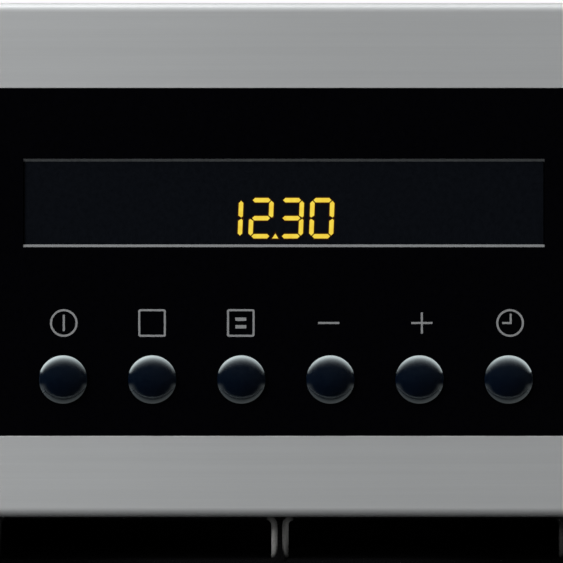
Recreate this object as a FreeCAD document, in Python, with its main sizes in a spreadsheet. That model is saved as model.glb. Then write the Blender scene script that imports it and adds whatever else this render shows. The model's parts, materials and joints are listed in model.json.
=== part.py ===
import FreeCAD, Part
import math
import os

import Sketcher
from FreeCAD import Rotation, Vector

# A built-in electric oven in millimetres. +Z is up, the front faces -Y, X = 0 is the centreline.
# The origin is the middle of the base, which rests on the shelf of the kitchen cabinet.

SIZES = (
    # Front: the control fascia and the door stand out of the cabinet's face.
    ("front_width", 595, "width of the fascia and of the door"),
    ("front_top", 597, "upper edge of the fascia above the base"),
    ("front_reach", 38, "front surface ahead of the cabinet's face"),
    ("fascia_height", 109, "height of the steel fascia"),
    ("fascia_wall", 1.2, "sheet thickness of the fascia"),
    ("fascia_bend", 2, "outer bend radius of the fascia's upper and lower edges"),
    ("fascia_lip", 6, "depth of the fascia's lower return"),
    ("end_cap_wall", 3, "thickness of the plastic caps in the fascia's ends"),
    ("fit_gap", 0.2, "clearance of a piece set into a window"),
    # Control insert in the fascia's window.
    ("insert_width", 160, "width of the black control insert"),
    ("insert_height", 73.2, "height of the black control insert"),
    ("insert_rise", 17.46, "lower edge of the insert above the fascia's lower edge"),
    ("insert_corner", 1.5, "corner radius of the insert"),
    ("window_edge", 0.1, "rounding of the steel round the insert"),
    ("insert_recess", 0.2, "insert's face behind the steel's face"),
    ("insert_wall", 2.5, "thickness of the flange behind the steel"),
    ("insert_flange", 4, "overlap of the flange behind the steel"),
    ("display_width", 110.3, "width of the display window"),
    ("display_height", 18.66, "height of the display window"),
    ("display_rise", 57.24, "lower edge of the display above the fascia's lower edge"),
    ("display_centre", 0.84, "middle of the display from the oven's centreline"),
    ("display_recess", 0.4, "display lens behind the insert's face"),
    ("trim_height", 0.55, "height of the bevelled strips along the display"),
    # Push buttons.
    ("button_count", 6, "number of push buttons"),
    ("button_pitch", 18.84, "spacing of the buttons"),
    ("button_centre", 1.26, "middle of the button row from the oven's centreline"),
    ("button_rise", 29.23, "button axis above the fascia's lower edge"),
    ("button_diameter", 10.2, "diameter of a button"),
    ("button_crown", 2.05, "height of a button's dome"),
    ("button_skirt", 0.5, "straight side of a button ahead of the insert"),
    ("button_gap", 0.25, "radial clearance of a button in its hole"),
    ("button_travel", 1.2, "stroke of a button"),
    ("collar_reach", 1.2, "collar that keeps a button behind its hole"),
    ("collar_wall", 1.2, "thickness of that collar"),
    ("stem_radius", 2, "radius of a button's stem"),
    ("board_stand", 14, "control board behind the insert"),
    ("board_wall", 1.6, "thickness of the circuit boards"),
    ("switch_side", 6, "side of a tact switch"),
    ("switch_height", 5, "height of a tact switch above the board"),
    ("carrier_wall", 2, "thickness of the button carrier's plate"),
    ("carrier_height", 26, "height of the button carrier"),
    ("carrier_margin", 18, "carrier beyond the outermost button axes"),
    ("post_radius", 3, "radius of the carrier's posts"),
    # Air outlet under the fascia.
    ("slot_count", 8, "number of air slots"),
    ("slot_width", 58.1, "width of an air slot"),
    ("slot_height", 8, "height of an air slot"),
    ("slot_pitch", 61.8, "spacing of the air slots"),
    ("slot_drop", 1.3, "upper edge of the slots below the fascia"),
    ("slot_corner", 1, "upper corner radius of an air slot"),
    ("slot_round", 1.35, "rounding of a slot's front edge"),
    ("grille_recess", 8, "face of the outlet grille behind the fascia's face"),
    ("grille_wall", 3, "thickness of the grille's front plate"),
    ("grille_rim", 2.2, "grille above and below the slots"),
    # Chassis.
    ("body_width", 556, "width of the chassis in its niche"),
    ("body_height", 585, "height of the chassis"),
    ("body_depth", 525, "depth of the chassis behind the cabinet's face"),
    ("panel", 1, "sheet thickness of the chassis"),
    ("base_flange", 20, "upturned sides of the base pan"),
    ("side_flange", 10, "folded edges of the side panels"),
    ("top_flange", 12, "folded edges of the top cover"),
    ("louvre_count", 7, "number of air slots in a chassis panel"),
    ("louvre_width", 60, "length of those slots"),
    ("louvre_height", 5, "width of those slots"),
    ("louvre_pitch", 13, "spacing of those slots"),
    ("bead_width", 24, "width of the stiffening beads pressed into the panels"),
    ("bead_rise", 3, "height of those beads"),
    ("bead_length", 300, "length of those beads"),
    ("bead_offset", 130, "beads from the middle of their panel"),
    ("frame_wall", 1.5, "thickness of the front frame"),
    ("frame_width", 580, "width of the front frame"),
    ("frame_low", 4, "lower edge of the front frame"),
    ("fixing_span", 572, "distance of the cabinet screws across the oven"),
    ("fixing_low", 150, "height of the lower cabinet screws"),
    ("fixing_rise", 240, "upper cabinet screws above the lower ones"),
    ("fixing_radius", 2.5, "radius of the cabinet screw holes"),
    ("fixing_edge", 9, "ears of the front frame beyond the cabinet screws"),
    # Cavity.
    ("cavity_width", 440, "inner width of the cavity"),
    ("cavity_height", 352, "inner height of the cavity"),
    ("cavity_depth", 410, "inner depth of the cavity"),
    ("cavity_floor", 72, "cavity floor above the base"),
    ("cavity_wall", 1, "sheet thickness of the cavity"),
    ("cavity_corner", 22, "inner corner radius of the cavity"),
    ("wool", 22, "thickness of the insulation"),
    ("wool_gap", 0.3, "gap between the insulation and the sheet beside it"),
    ("element_radius", 3.25, "radius of the tubular heaters"),
    ("element_bend", 18, "bend radius of the tubular heaters"),
    ("element_gap", 0.3, "clearance of a heater in its hole or at its sheet"),
    ("grill_drop", 18, "axis of the grill heater below the ceiling"),
    ("seal_inset", 3, "door seal outside the cavity's mouth"),
    ("seal_width", 10, "width of the door seal"),
    ("seal_gap", 0.3, "free gap between the seal and the closed door"),
    ("seal_round", 2, "rounding of the seal's front edges"),
    # Convection fan behind its baffle.
    ("baffle_side", 300, "side of the fan baffle"),
    ("baffle_depth", 45, "depth of the fan chamber"),
    ("baffle_corner", 16, "corner radius of the fan baffle"),
    ("fan_radius", 72, "radius of the fan wheel"),
    ("fan_depth", 22, "depth of the fan wheel"),
    ("fan_stand", 10, "fan disc ahead of the cavity's back"),
    ("blade_count", 10, "number of fan blades"),
    ("blade_wall", 1.2, "thickness of blades and discs"),
    ("blade_root", 30, "inner edge of the fan blades from the fan's axis"),
    ("blade_sweep", 24, "degrees that a fan blade's outer edge trails its inner one"),
    ("blade_bend", 48, "bend radius of the fan blades"),
    ("hub_radius", 13, "radius of the fan hub"),
    ("shaft_radius", 4, "radius of the fan shafts"),
    ("run_gap", 0.05, "radial running clearance of a shaft"),
    ("ring_radius", 84, "radius of the ring heater round the fan"),
    ("ring_end", 70, "degrees from the horizontal down to the ring heater's ends"),
    ("ring_elbow", 9.75, "bend radius of the ring heater's ends"),
    ("motor_stand", 30, "motor plate behind the cavity's back"),
    ("motor_radius", 32, "radius of the convection motor"),
    ("motor_length", 45, "length of the convection motor"),
    ("motor_plate", 110, "side of the convection motor's plate"),
    # Lamp and probe.
    ("lamp_offset", 185, "lamp axis from the centreline"),
    ("lamp_drop", 34, "lamp axis below the ceiling"),
    ("lamp_radius", 24, "radius of the lamp holder"),
    ("lens_reach", 16, "lamp lens ahead of the cavity's back"),
    ("lamp_depth", 38, "depth of the lamp holder"),
    ("lamp_wall", 2.5, "wall of the lamp lens and of its holder"),
    ("bulb_radius", 9, "radius of the lamp bulb"),
    ("probe_radius", 2, "radius of the temperature probe"),
    ("probe_length", 62, "length of the temperature probe in the cavity"),
    # Shelf supports, shelf and tray.
    ("rail_radius", 2.5, "radius of the shelf support's wire"),
    ("rail_stand", 10.5, "support rails ahead of the side wall"),
    ("rail_first", 45, "lowest rail above the cavity floor"),
    ("rail_pitch", 60, "spacing of the shelf levels"),
    ("rail_guard", 17, "guard wire above each rail"),
    ("rail_front", 22, "front post of the support behind the cavity's mouth"),
    ("level_count", 4, "number of shelf levels"),
    ("shelf_level", 2, "level of the wire shelf, counted from zero"),
    ("tray_level", 0, "level of the baking tray, counted from zero"),
    ("rest_gap", 0.3, "gap between a shelf and its rail"),
    ("shelf_depth", 336, "depth of the wire shelf and of the tray"),
    ("shelf_wire", 3, "radius of the shelf's frame wire"),
    ("shelf_bar", 1.5, "radius of the shelf's cross wires"),
    ("shelf_bar_count", 19, "number of the shelf's cross wires"),
    ("shelf_corner", 18, "corner radius of the shelf and of the tray"),
    ("shelf_play", 10, "shelf's edge inside the cavity's side wall"),
    ("tray_wall", 1.2, "sheet thickness of the tray"),
    ("tray_depth", 24, "depth of the tray below its rim"),
    ("tray_rim", 12, "width of the tray's rim"),
    ("tray_draft", 6, "how far the tray narrows towards its floor"),
    # Cooling air.
    ("duct_wall", 1, "sheet thickness of the air duct"),
    ("duct_rise", 41, "duct floor above the cavity's ceiling"),
    ("duct_margin", 6, "duct beyond the outlet grille on each side"),
    ("blower_radius", 28, "radius of the cross-flow wheel"),
    ("blower_length", 188, "length of the cross-flow wheel"),
    ("blower_blades", 18, "number of blades of the cross-flow wheel"),
    ("blower_bend", 7, "bend radius of those blades"),
    ("blower_discs", 4, "number of discs that carry those blades"),
    ("blower_gap", 4, "gap between the wheel and its housing"),
    ("blower_wall", 1.5, "wall of the blower housing"),
    ("blower_reach", 60, "outlet of the blower ahead of its axis"),
    ("blower_back", 60, "blower axis behind the middle of the chassis"),
    ("blower_motor_radius", 24, "radius of the blower's motor"),
    ("blower_motor_length", 42, "length of the blower's motor"),
    # Electrics.
    ("power_width", 110, "width of the power board"),
    ("power_depth", 130, "depth of the power board"),
    ("power_offset", 175, "middle of the power board from the centreline"),
    ("power_stand", 8, "power board above the air duct"),
    ("relay_width", 16, "width of a relay"),
    ("relay_height", 18, "height of a relay"),
    ("relay_count", 4, "number of relays"),
    ("terminal_width", 62, "width of the terminal block"),
    ("terminal_height", 28, "height of the terminal block"),
    ("terminal_depth", 26, "depth of the terminal block"),
    ("inlet_offset", 200, "mains inlet from the centreline"),
    ("inlet_height", 440, "mains inlet above the base"),
    ("inlet_radius", 6, "radius of the mains inlet"),
    ("inlet_length", 14, "length of the mains inlet"),
    # Door.
    ("door_bottom", 10, "lower edge of the door"),
    ("door_clear", 3, "gap between the door and the outlet grille"),
    ("door_gap", 5, "gap between the closed door and the front frame"),
    ("glass_wall", 4, "thickness of the door's panes"),
    ("glass_corner", 3, "corner radius of the outer pane"),
    ("glass_edge", 0.8, "rounding of the outer pane's ground front edge"),
    ("channel_wall", 1, "sheet thickness of the door's side channels"),
    ("channel_inset", 4, "side channels inside the pane's edge"),
    ("channel_width", 46, "width of a side channel"),
    ("rail_inset", 2, "door rails inside the pane's upper and lower edges"),
    ("rail_height", 22, "height of the door's upper rail"),
    ("rail_wall", 2, "wall of the door's rails"),
    ("seat_gap", 0.3, "gap between a pane and its seat"),
    ("pane_stand", 8, "middle pane ahead of the inner pane"),
    ("ledge_low", 30, "underside of the inner pane's ledge above the door's edge"),
    ("ledge_wall", 6, "height of that ledge"),
    ("pivot_inset", 18, "door pivot ahead of the door's back"),
    ("pivot_rise", 20, "door pivot above the door's lower edge"),
    ("pin_radius", 3, "radius of the hinge pins"),
    ("hinge_inset", 14.5, "hinge outside the side channel's inner edge"),
    ("hinge_gap", 0.5, "play between a hinge arm and its case"),
    ("arm_wall", 5, "thickness of a hinge arm"),
    ("arm_reach", 32, "hinge arm behind the cabinet's face"),
    ("case_wall", 2, "wall of a hinge case"),
    ("case_width", 18, "width of a hinge case"),
    ("case_height", 146, "height of a hinge case"),
    ("spring_radius", 5.5, "radius of the hinge spring's tube"),
    ("handle_drop", 52, "handle axis below the door's upper edge"),
    ("handle_stand", 40, "handle axis ahead of the pane"),
    ("handle_radius", 9, "radius of the handle bar"),
    ("handle_length", 480, "length of the handle bar"),
    ("handle_span", 400, "distance of the handle's posts"),
    ("handle_post", 7, "radius of a handle post"),
    ("handle_screw", 2.5, "radius of a handle screw"),
    ("screw_head", 5, "radius of a handle screw's head"),
)

SIDES = (("left", "-1"), ("right", "1"))

doc = FreeCAD.newDocument("built_in_oven")
sheet = doc.addObject("Spreadsheet::Sheet", "Size")
nodes = []


def fill_sheet():
    for row, (alias, value, meaning) in enumerate(SIZES, start=1):
        sheet.set(f"A{row}", alias)
        sheet.set(f"B{row}", str(value))
        sheet.set(f"C{row}", meaning)
        sheet.setAlias(f"B{row}", alias)
    doc.recompute()


fill_sheet()
ALIASES = {alias for alias, _, _ in SIZES}
# Edges are found by their place, to this closeness.
TOLERANCE = 0.01

# Planes and levels that several pieces share, as formulas on the sheet's values.
CABINET = "(-body_depth/2)"
FRAME = f"({CABINET} - frame_wall)"
DOOR_BACK = f"({FRAME} - door_gap)"
FRONT = f"({CABINET} - front_reach)"
PANE_BACK = f"({FRONT} + glass_wall)"
FASCIA_LOW = "(front_top - fascia_height)"
INSERT_FRONT = f"({FRONT} + insert_recess)"
INSERT_SEAT = f"({FRONT} + fascia_wall)"
INSERT_BACK = f"({INSERT_SEAT} + insert_wall)"
LENS_FRONT = f"({INSERT_FRONT} + display_recess)"
BOARD_FRONT = f"({INSERT_BACK} + board_stand)"
SWITCH_FRONT = f"({BOARD_FRONT} - switch_height)"
BUTTON_Z = f"({FASCIA_LOW} + button_rise)"
DISPLAY_LOW = f"({FASCIA_LOW} + display_rise)"
DISPLAY_HIGH = f"({DISPLAY_LOW} + display_height)"
ROW_HALF = "((button_count - 1)*button_pitch/2)"
CARRIER_HALF = f"({ROW_HALF} + carrier_margin)"
CARRIER_LOW = f"({BUTTON_Z} - carrier_height/2)"
SLOT_HIGH = f"({FASCIA_LOW} - slot_drop)"
SLOT_LOW = f"({SLOT_HIGH} - slot_height)"
GRILLE_FRONT = f"({FRONT} + grille_recess)"
GRILLE_LOW = f"({SLOT_LOW} - grille_rim)"
GRILLE_HIGH = f"({SLOT_HIGH} + grille_rim)"
GRILLE_HALF = "(slot_count*slot_pitch/2 + grille_rim)"
DOOR_TOP = f"({GRILLE_LOW} - door_clear)"
SIDE_HALF = "(body_width/2 - panel)"
REAR = "(body_depth/2 - panel)"
CEILING = "(cavity_floor + cavity_height)"
BACK = f"({CABINET} + cavity_depth)"
BACK_REAR = f"({BACK} + cavity_wall)"
FAN_Z = "(cavity_floor + cavity_height/2)"
LAMP_Z = f"({CEILING} - lamp_drop)"
GRILL_Z = f"({CEILING} - grill_drop)"
RING_LEAD_X = "(ring_radius*cos(ring_end) - ring_elbow*sin(ring_end))"
RING_LEAD_Z = f"({FAN_Z} - ring_radius*sin(ring_end) - ring_elbow*cos(ring_end))"
BAFFLE_FRONT = f"({BACK} - baffle_depth)"
DUCT_FLOOR = f"({CEILING} + duct_rise)"
DUCT_BASE = f"({DUCT_FLOOR} + duct_wall)"
DUCT_HIGH = f"({GRILLE_HIGH} + duct_wall)"
DUCT_HALF = f"({GRILLE_HALF} + duct_margin)"
BLOWER_Z = f"({DUCT_BASE} + blower_wall + blower_gap + blower_radius)"
BLOWER_MOUTH = "(blower_back - blower_reach)"
BLOWER_HALF = "(blower_length/2 + blower_gap)"
PIVOT_Y = f"({DOOR_BACK} - pivot_inset)"
PIVOT_Z = "(door_bottom + pivot_rise)"
CASE_FRONT = f"({PANE_BACK} + channel_wall)"
CASE_BACK = f"({CASE_FRONT} + case_wall)"
EYE_RADIUS = f"({PIVOT_Y} - {CASE_BACK} - hinge_gap)"
CHANNEL_OUT = "(front_width/2 - channel_inset)"
CHANNEL_IN = f"({CHANNEL_OUT} - channel_width)"
HINGE_X = f"({CHANNEL_IN} + hinge_inset)"
DOOR_RAIL_HALF = f"({CHANNEL_IN} - seat_gap)"
RAIL_LOW = "(door_bottom + rail_inset)"
RAIL_HIGH = f"({DOOR_TOP} - rail_inset)"
LEDGE_LOW = "(door_bottom + ledge_low)"
LEDGE_HIGH = f"({LEDGE_LOW} + ledge_wall)"
PANE_FRONT = f"({DOOR_BACK} - glass_wall)"
MIDDLE_BACK = f"({PANE_FRONT} - pane_stand)"
HANDLE_Y = f"({FRONT} - handle_stand)"
HANDLE_Z = f"({DOOR_TOP} - handle_drop)"
RAIL_X = "(cavity_width/2 - rail_stand)"
SHELF_HALF = "(cavity_width/2 - shelf_play)"
SHELF_BACK = f"({BAFFLE_FRONT} - rest_gap)"
SHELF_FRONT = f"({SHELF_BACK} - shelf_depth)"


# Modelling helpers. Sizes are passed as formulas on the sheet's values.

def expression(text):
    """The formula with each of the sheet's names written the way an expression refers to it."""
    words = []
    word = ""
    for letter in text + " ":
        if letter.isalnum() or letter in "_.":
            word += letter
            continue
        words.append(f"Size.{word}" if word in ALIASES else word)
        words.append(letter)
        word = ""
    return "".join(words).strip()


def number(text):
    """The value of a formula."""
    return float(sheet.evalExpression(expression(text)))


def bind(target, sizes):
    for name, text in sizes.items():
        target.setExpression(name, expression(text))


def place(target, x="0", y="0", z="0"):
    bind(target, {"Placement.Base.x": x, "Placement.Base.y": y, "Placement.Base.z": z})


def keep(target, label):
    """Names a finished sub-part, which is then written to a file of that name."""
    target.Label = label
    nodes.append(target)
    return target


def body(label, x="0", y="0", z="0"):
    made = doc.addObject("PartDesign::Body", label)
    place(made, x, y, z)
    return keep(made, label)


def origin(part, role):
    return next(f for f in part.Origin.OriginFeatures if f.Role == role)


def pin(target, geometry, point, u, v):
    """Fixes a sketch point at formulas u and v."""
    for kind, text in (("DistanceX", u), ("DistanceY", v)):
        index = target.addConstraint(Sketcher.Constraint(kind, -1, 1, geometry, point, number(text)))
        target.setExpression(f"Constraints[{index}]", expression(text))


def arc_through(start, end, radius, turn):
    """An arc from start to end, to the left (turn 1) or to the right (turn -1), under a half circle."""
    middle = (start + end) * 0.5
    along = end - start
    across = Vector(-along.y, along.x, 0).normalize()
    centre = middle + across * turn * math.sqrt(max(radius**2 - along.Length**2 / 4, 0))
    ends = (start, end) if turn > 0 else (end, start)
    angles = [math.atan2(p.y - centre.y, p.x - centre.x) for p in ends]
    return Part.ArcOfCircle(Part.Circle(centre, Vector(0, 0, 1), radius), *angles)


def outline(*points):
    """A closed outline. A point is (u, v), or (u, v, radius, turn) where an arc leads to the next one."""

    def draw(target):
        first = target.GeometryCount
        corners = [Vector(number(p[0]), number(p[1]), 0) for p in points]
        ends = []
        for i, point in enumerate(points):
            start, end = corners[i], corners[(i + 1) % len(points)]
            if len(point) == 2:
                target.addGeometry(Part.LineSegment(start, end), False)
                ends.append((1, 2))
            else:
                target.addGeometry(arc_through(start, end, number(point[2]), point[3]), False)
                ends.append((1, 2) if point[3] > 0 else (2, 1))
        for i, point in enumerate(points):
            following = (i + 1) % len(points)
            link = ("Coincident", first + i, ends[i][1], first + following, ends[following][0])
            target.addConstraint(Sketcher.Constraint(*link))
            pin(target, first + i, ends[i][0], point[0], point[1])
            if len(point) == 4:
                bend = Sketcher.Constraint("Radius", first + i, number(point[2]))
                target.setExpression(f"Constraints[{target.addConstraint(bend)}]", expression(point[2]))

    return draw


def rectangle(u_low, u_high, v_low, v_high):
    return outline((u_low, v_low), (u_high, v_low), (u_high, v_high), (u_low, v_high))


def circle(u, v, radius):
    def draw(target):
        index = target.addGeometry(
            Part.Circle(Vector(number(u), number(v), 0), Vector(0, 0, 1), number(radius)), False
        )
        pin(target, index, 3, u, v)
        size = target.addConstraint(Sketcher.Constraint("Radius", index, number(radius)))
        target.setExpression(f"Constraints[{size}]", expression(radius))

    return draw


def rounded(u_low, u_high, v_low, v_high, radius):
    """A rectangle with round corners: four lines and four tangent arcs."""

    def draw(target):
        first = target.GeometryCount
        a, b, c, d, r = (number(t) for t in (u_low, u_high, v_low, v_high, radius))
        runs = [
            (Vector(a + r, c, 0), Vector(b - r, c, 0)),
            (Vector(b, c + r, 0), Vector(b, d - r, 0)),
            (Vector(b - r, d, 0), Vector(a + r, d, 0)),
            (Vector(a, d - r, 0), Vector(a, c + r, 0)),
        ]
        centres = [(b - r, c + r), (b - r, d - r), (a + r, d - r), (a + r, c + r)]
        for i, (start, end) in enumerate(runs):
            corner = Part.Circle(Vector(*centres[i], 0), Vector(0, 0, 1), r)
            angle = (i - 1) * math.pi / 2
            target.addGeometry(Part.LineSegment(start, end), False)
            target.addGeometry(Part.ArcOfCircle(corner, angle, angle + math.pi / 2), False)
        rules = []
        for i in range(8):
            rules.append(("Tangent", first + i, 2, first + (i + 1) % 8, 1))
        for i, kind in ((0, "Horizontal"), (2, "Vertical"), (4, "Horizontal"), (6, "Vertical")):
            rules.append((kind, first + i))
        for i in (3, 5, 7):
            rules.append(("Equal", first + 1, first + i))
        target.addConstraint([Sketcher.Constraint(*rule) for rule in rules])
        sized = (
            (("Radius", first + 1), radius),
            (("DistanceY", -1, 1, first, 1), v_low),
            (("DistanceX", -1, 1, first + 2, 1), u_high),
            (("DistanceY", -1, 1, first + 4, 1), v_high),
            (("DistanceX", -1, 1, first + 6, 1), u_low),
        )
        for rule, text in sized:
            index = target.addConstraint(Sketcher.Constraint(*rule, number(text)))
            target.setExpression(f"Constraints[{index}]", expression(text))

    return draw


# Each plane's role, the sign of its normal along the third axis, and whether a pad or a pocket
# that should run towards that axis' high end has to be reversed.
PLANES = {
    "XY": ("XY_Plane", "", False, True),
    "XZ": ("XZ_Plane", "-", True, False),
    "YZ": ("YZ_Plane", "", False, True),
}


def sketch(part, plane, at, *outlines):
    """A sketch on the part's own origin plane, moved to `at` along the plane's third axis."""
    role, sign, _, _ = PLANES[plane]
    made = part.newObject("Sketcher::SketchObject", f"{part.Name}_sketch")
    made.AttachmentSupport = (origin(part, role), [""])
    made.MapMode = "FlatFace"
    bind(made, {"AttachmentOffset.Base.z": f"{sign}({at})"})
    for draw in outlines:
        draw(made)
    return made


def extrude(part, plane, low, high, *outlines):
    """Pads outlines from low to high along the plane's third axis."""
    base = sketch(part, plane, low, *outlines)
    made = part.newObject("PartDesign::Pad", f"{part.Name}_pad")
    made.Profile = base
    made.Reversed = PLANES[plane][2]
    bind(made, {"Length": f"({high}) - ({low})"})
    doc.recompute()
    return made


def carve(part, plane, low, high, *outlines):
    """Pockets outlines from low to high, and makes sure that something was cut."""
    before = part.Shape.Volume
    base = sketch(part, plane, low, *outlines)
    made = part.newObject("PartDesign::Pocket", f"{part.Name}_pocket")
    made.Profile = base
    made.Reversed = PLANES[plane][3]
    bind(made, {"Length": f"({high}) - ({low})"})
    doc.recompute()
    if part.Shape.Volume >= before:
        raise RuntimeError(f"a pocket in {part.Label} cuts nothing")
    return made


def revolve(part, *points):
    """Turns an outline of (y, radius) points round the part's own Y axis."""
    base = sketch(part, "YZ", "0", outline(*points))
    made = part.newObject("PartDesign::Revolution", f"{part.Name}_turn")
    made.Profile = base
    made.ReferenceAxis = (base, ["H_Axis"])
    made.Angle = 360
    doc.recompute()
    return made


def repeat(part, feature, axis, spacing, count):
    """A row of copies of a feature along an axis."""
    made = part.newObject("PartDesign::LinearPattern", f"{part.Name}_row")
    made.Originals = [feature]
    made.Direction = (origin(part, f"{axis}_Axis"), [""])
    bind(made, {"Length": f"({count} - 1)*({spacing})", "Occurrences": count})
    part.Tip = made
    doc.recompute()
    return made


def ring(part, feature, axis, count):
    """Copies of a feature all round an axis through the part's origin."""
    made = part.newObject("PartDesign::PolarPattern", f"{part.Name}_ring")
    made.Originals = [feature]
    made.Axis = (origin(part, f"{axis}_Axis"), [""])
    made.Angle = 360
    bind(made, {"Occurrences": count})
    part.Tip = made
    doc.recompute()
    return made


def round_edges(part, radius, chosen):
    """Fillets those edges of the part for which chosen(bounding box) is true."""
    base = part.Tip
    names = [f"Edge{i}" for i, e in enumerate(base.Shape.Edges, start=1) if chosen(e.BoundBox)]
    made = part.newObject("PartDesign::Fillet", f"{part.Name}_round")
    made.Base = (base, names)
    bind(made, {"Radius": radius})
    part.Tip = made
    doc.recompute()
    return made


def near(value, text):
    return abs(value - number(text)) < TOLERANCE


AXES = {"X": Rotation(Vector(0, 1, 0), 90), "Y": Rotation(Vector(1, 0, 0), -90), "Z": Rotation()}


def rod(label, axis, start, length, radius):
    """A cylinder from the point start along an axis."""
    made = doc.addObject("Part::Cylinder", label)
    made.Placement.Rotation = AXES[axis]
    place(made, *start)
    bind(made, {"Height": length, "Radius": radius})
    return made


def fuse(label, pieces):
    made = doc.addObject("Part::MultiFuse", label)
    made.Shapes = pieces
    made.Refine = False
    return made


def cut(label, base, tool):
    made = doc.addObject("Part::Cut", label)
    made.Base = base
    made.Tool = tool
    return made


def group(label, pieces):
    """Separate solids that share one file."""
    made = doc.addObject("Part::Compound", label)
    made.Links = pieces
    return made


def bent_path(corners, bend, closed=False):
    """Straight runs joined by tangent arcs of one radius."""
    count = len(corners)
    joints = {}
    for i in range(count) if closed else range(1, count - 1):
        corner = corners[i]
        back = (corners[i - 1] - corner).normalize()
        ahead = (corners[(i + 1) % count] - corner).normalize()
        half = back.getAngle(ahead) / 2
        reach = bend / math.tan(half)
        middle = (back + ahead).normalize()
        top = corner + middle * (bend / math.sin(half) - bend)
        joints[i] = (corner + back * reach, top, corner + ahead * reach)
    edges = []
    for i in range(count if closed else count - 1):
        following = (i + 1) % count
        start = joints[i][2] if i in joints else corners[i]
        end = joints[following][0] if following in joints else corners[following]
        edges.append(Part.LineSegment(start, end).toShape())
        if following in joints:
            edges.append(Part.Arc(*joints[following]).toShape())
    return Part.Wire(edges)


def tube(label, path, radius):
    """A round bar along a path, with its radius from the sheet."""
    start = path.Edges[0]
    point = start.valueAt(start.FirstParameter)
    direction = start.tangentAt(start.FirstParameter)
    section = Part.Wire(Part.makeCircle(number(radius), point, direction))
    made = doc.addObject("Part::Feature", label)
    made.Shape = path.makePipeShell([section], True, False)
    return made


def loft(part, kind, low, high):
    """An additive or subtractive loft between two sketches."""
    made = part.newObject(f"PartDesign::{kind}Loft", f"{part.Name}_loft")
    made.Profile = low
    made.Sections = [high]
    made.Ruled = True
    doc.recompute()
    return made


# Chassis panels.

def bead(part, plane, low, high, outwards, u_middle, v_middle, along):
    """A stiffening bead pressed out of a sheet between low and high: proud of one face, hollow behind."""
    if outwards:
        foot, crest = high, f"({high} + bead_rise)"
        mouth, floor = low, f"({high} + bead_rise - panel)"
    else:
        foot, crest = low, f"({low} - bead_rise)"
        mouth, floor = high, f"({low} - bead_rise + panel)"

    def section(at, inset):
        long, short = f"(bead_length/2 - {inset})", f"(bead_width/2 - {inset})"
        u_half, v_half = (long, short) if along == "u" else (short, long)
        shape = rounded(f"{u_middle} - {u_half}", f"{u_middle} + {u_half}", f"{v_middle} - {v_half}",
                        f"{v_middle} + {v_half}", f"{short}*0.99")
        return sketch(part, plane, at, shape)

    loft(part, "Additive", section(foot, "0"), section(crest, "bead_rise"))
    loft(part, "Subtractive", section(mouth, "panel"), section(floor, "(panel + bead_rise)"))


def base_pan():
    part = body("base_pan")
    half = SIDE_HALF
    extrude(
        part, "XZ", f"-{REAR}", f"{REAR} - panel",
        outline(
            (f"-{half}", "0"), (half, "0"), (half, "base_flange"), (f"{half} - panel", "base_flange"),
            (f"{half} - panel", "panel"), (f"panel - {half}", "panel"),
            (f"panel - {half}", "base_flange"), (f"-{half}", "base_flange"),
        ),
    )
    slot = carve(
        part, "XY", "0", "panel",
        rounded("-louvre_width", "louvre_width", "blower_back", "blower_back + louvre_height",
                "louvre_height/2.01"),
    )
    repeat(part, slot, "Y", "louvre_pitch", "louvre_count")
    bead(part, "XY", "0", "panel", True, "0", "-bead_offset", "u")


def side_panel(side, sign):
    """A sheet with its front and rear edges folded inwards, and air slots near the top."""
    part = body(f"side_panel_{side}")
    outer = f"{sign}*body_width/2"
    inner = f"{sign}*{SIDE_HALF}"
    tip = f"{sign}*(body_width/2 - side_flange)"
    front, rear = CABINET, "(body_depth/2)"
    extrude(
        part, "XY", "0", "body_height",
        outline(
            (outer, front), (tip, front), (tip, f"{front} + panel"), (inner, f"{front} + panel"),
            (inner, f"{rear} - panel"), (tip, f"{rear} - panel"), (tip, rear), (outer, rear),
        ),
    )
    lowest = "(body_height - top_flange - louvre_count*louvre_pitch)"
    ends = sorted((outer, inner), key=number)
    slot = carve(
        part, "YZ", ends[0], ends[1],
        rounded("blower_back", "blower_back + louvre_width", lowest, f"{lowest} + louvre_height",
                "louvre_height/2.01"),
    )
    repeat(part, slot, "Z", "louvre_pitch", "louvre_count")
    for step in ("-1", "1"):
        bead(part, "YZ", *ends, sign == "-1", "0", f"{FAN_Z} + {step}*bead_offset", "u")


def rear_panel():
    part = body("rear_panel")
    extrude(part, "XZ", f"{REAR} - panel", REAR,
            rectangle(f"-{SIDE_HALF}", SIDE_HALF, "panel", "body_height - panel"))
    carve(part, "XZ", f"{REAR} - panel", REAR,
          circle("-inlet_offset", "inlet_height", "inlet_radius + case_wall"))
    row = "(louvre_count - 1)*louvre_pitch"
    slot = carve(
        part, "XZ", f"{REAR} - panel", REAR,
        rounded("-louvre_width/2", "louvre_width/2", f"{FAN_Z} - {row}/2",
                f"{FAN_Z} - {row}/2 + louvre_height", "louvre_height/2.01"),
    )
    repeat(part, slot, "Z", "louvre_pitch", "louvre_count")
    for step in ("-1", "1"):
        bead(part, "XZ", f"{REAR} - panel", REAR, True, f"{step}*bead_offset", FAN_Z, "v")


def top_cover():
    part = body("top_cover")
    half = SIDE_HALF
    high, low = "body_height", "(body_height - top_flange)"
    extrude(
        part, "XZ", f"-{REAR}", f"{REAR} - panel",
        outline(
            (f"-{half}", high), (f"-{half}", low), (f"panel - {half}", low),
            (f"panel - {half}", f"{high} - panel"), (f"{half} - panel", f"{high} - panel"),
            (f"{half} - panel", low), (half, low), (half, high),
        ),
    )
    slot = carve(
        part, "XY", f"{high} - panel", high,
        rounded("-louvre_width", "louvre_width", "blower_back", "blower_back + louvre_height",
                "louvre_height/2.01"),
    )
    repeat(part, slot, "Y", "louvre_pitch", "louvre_count")
    bead(part, "XY", f"{high} - panel", high, False, "0", "-bead_offset", "u")


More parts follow.
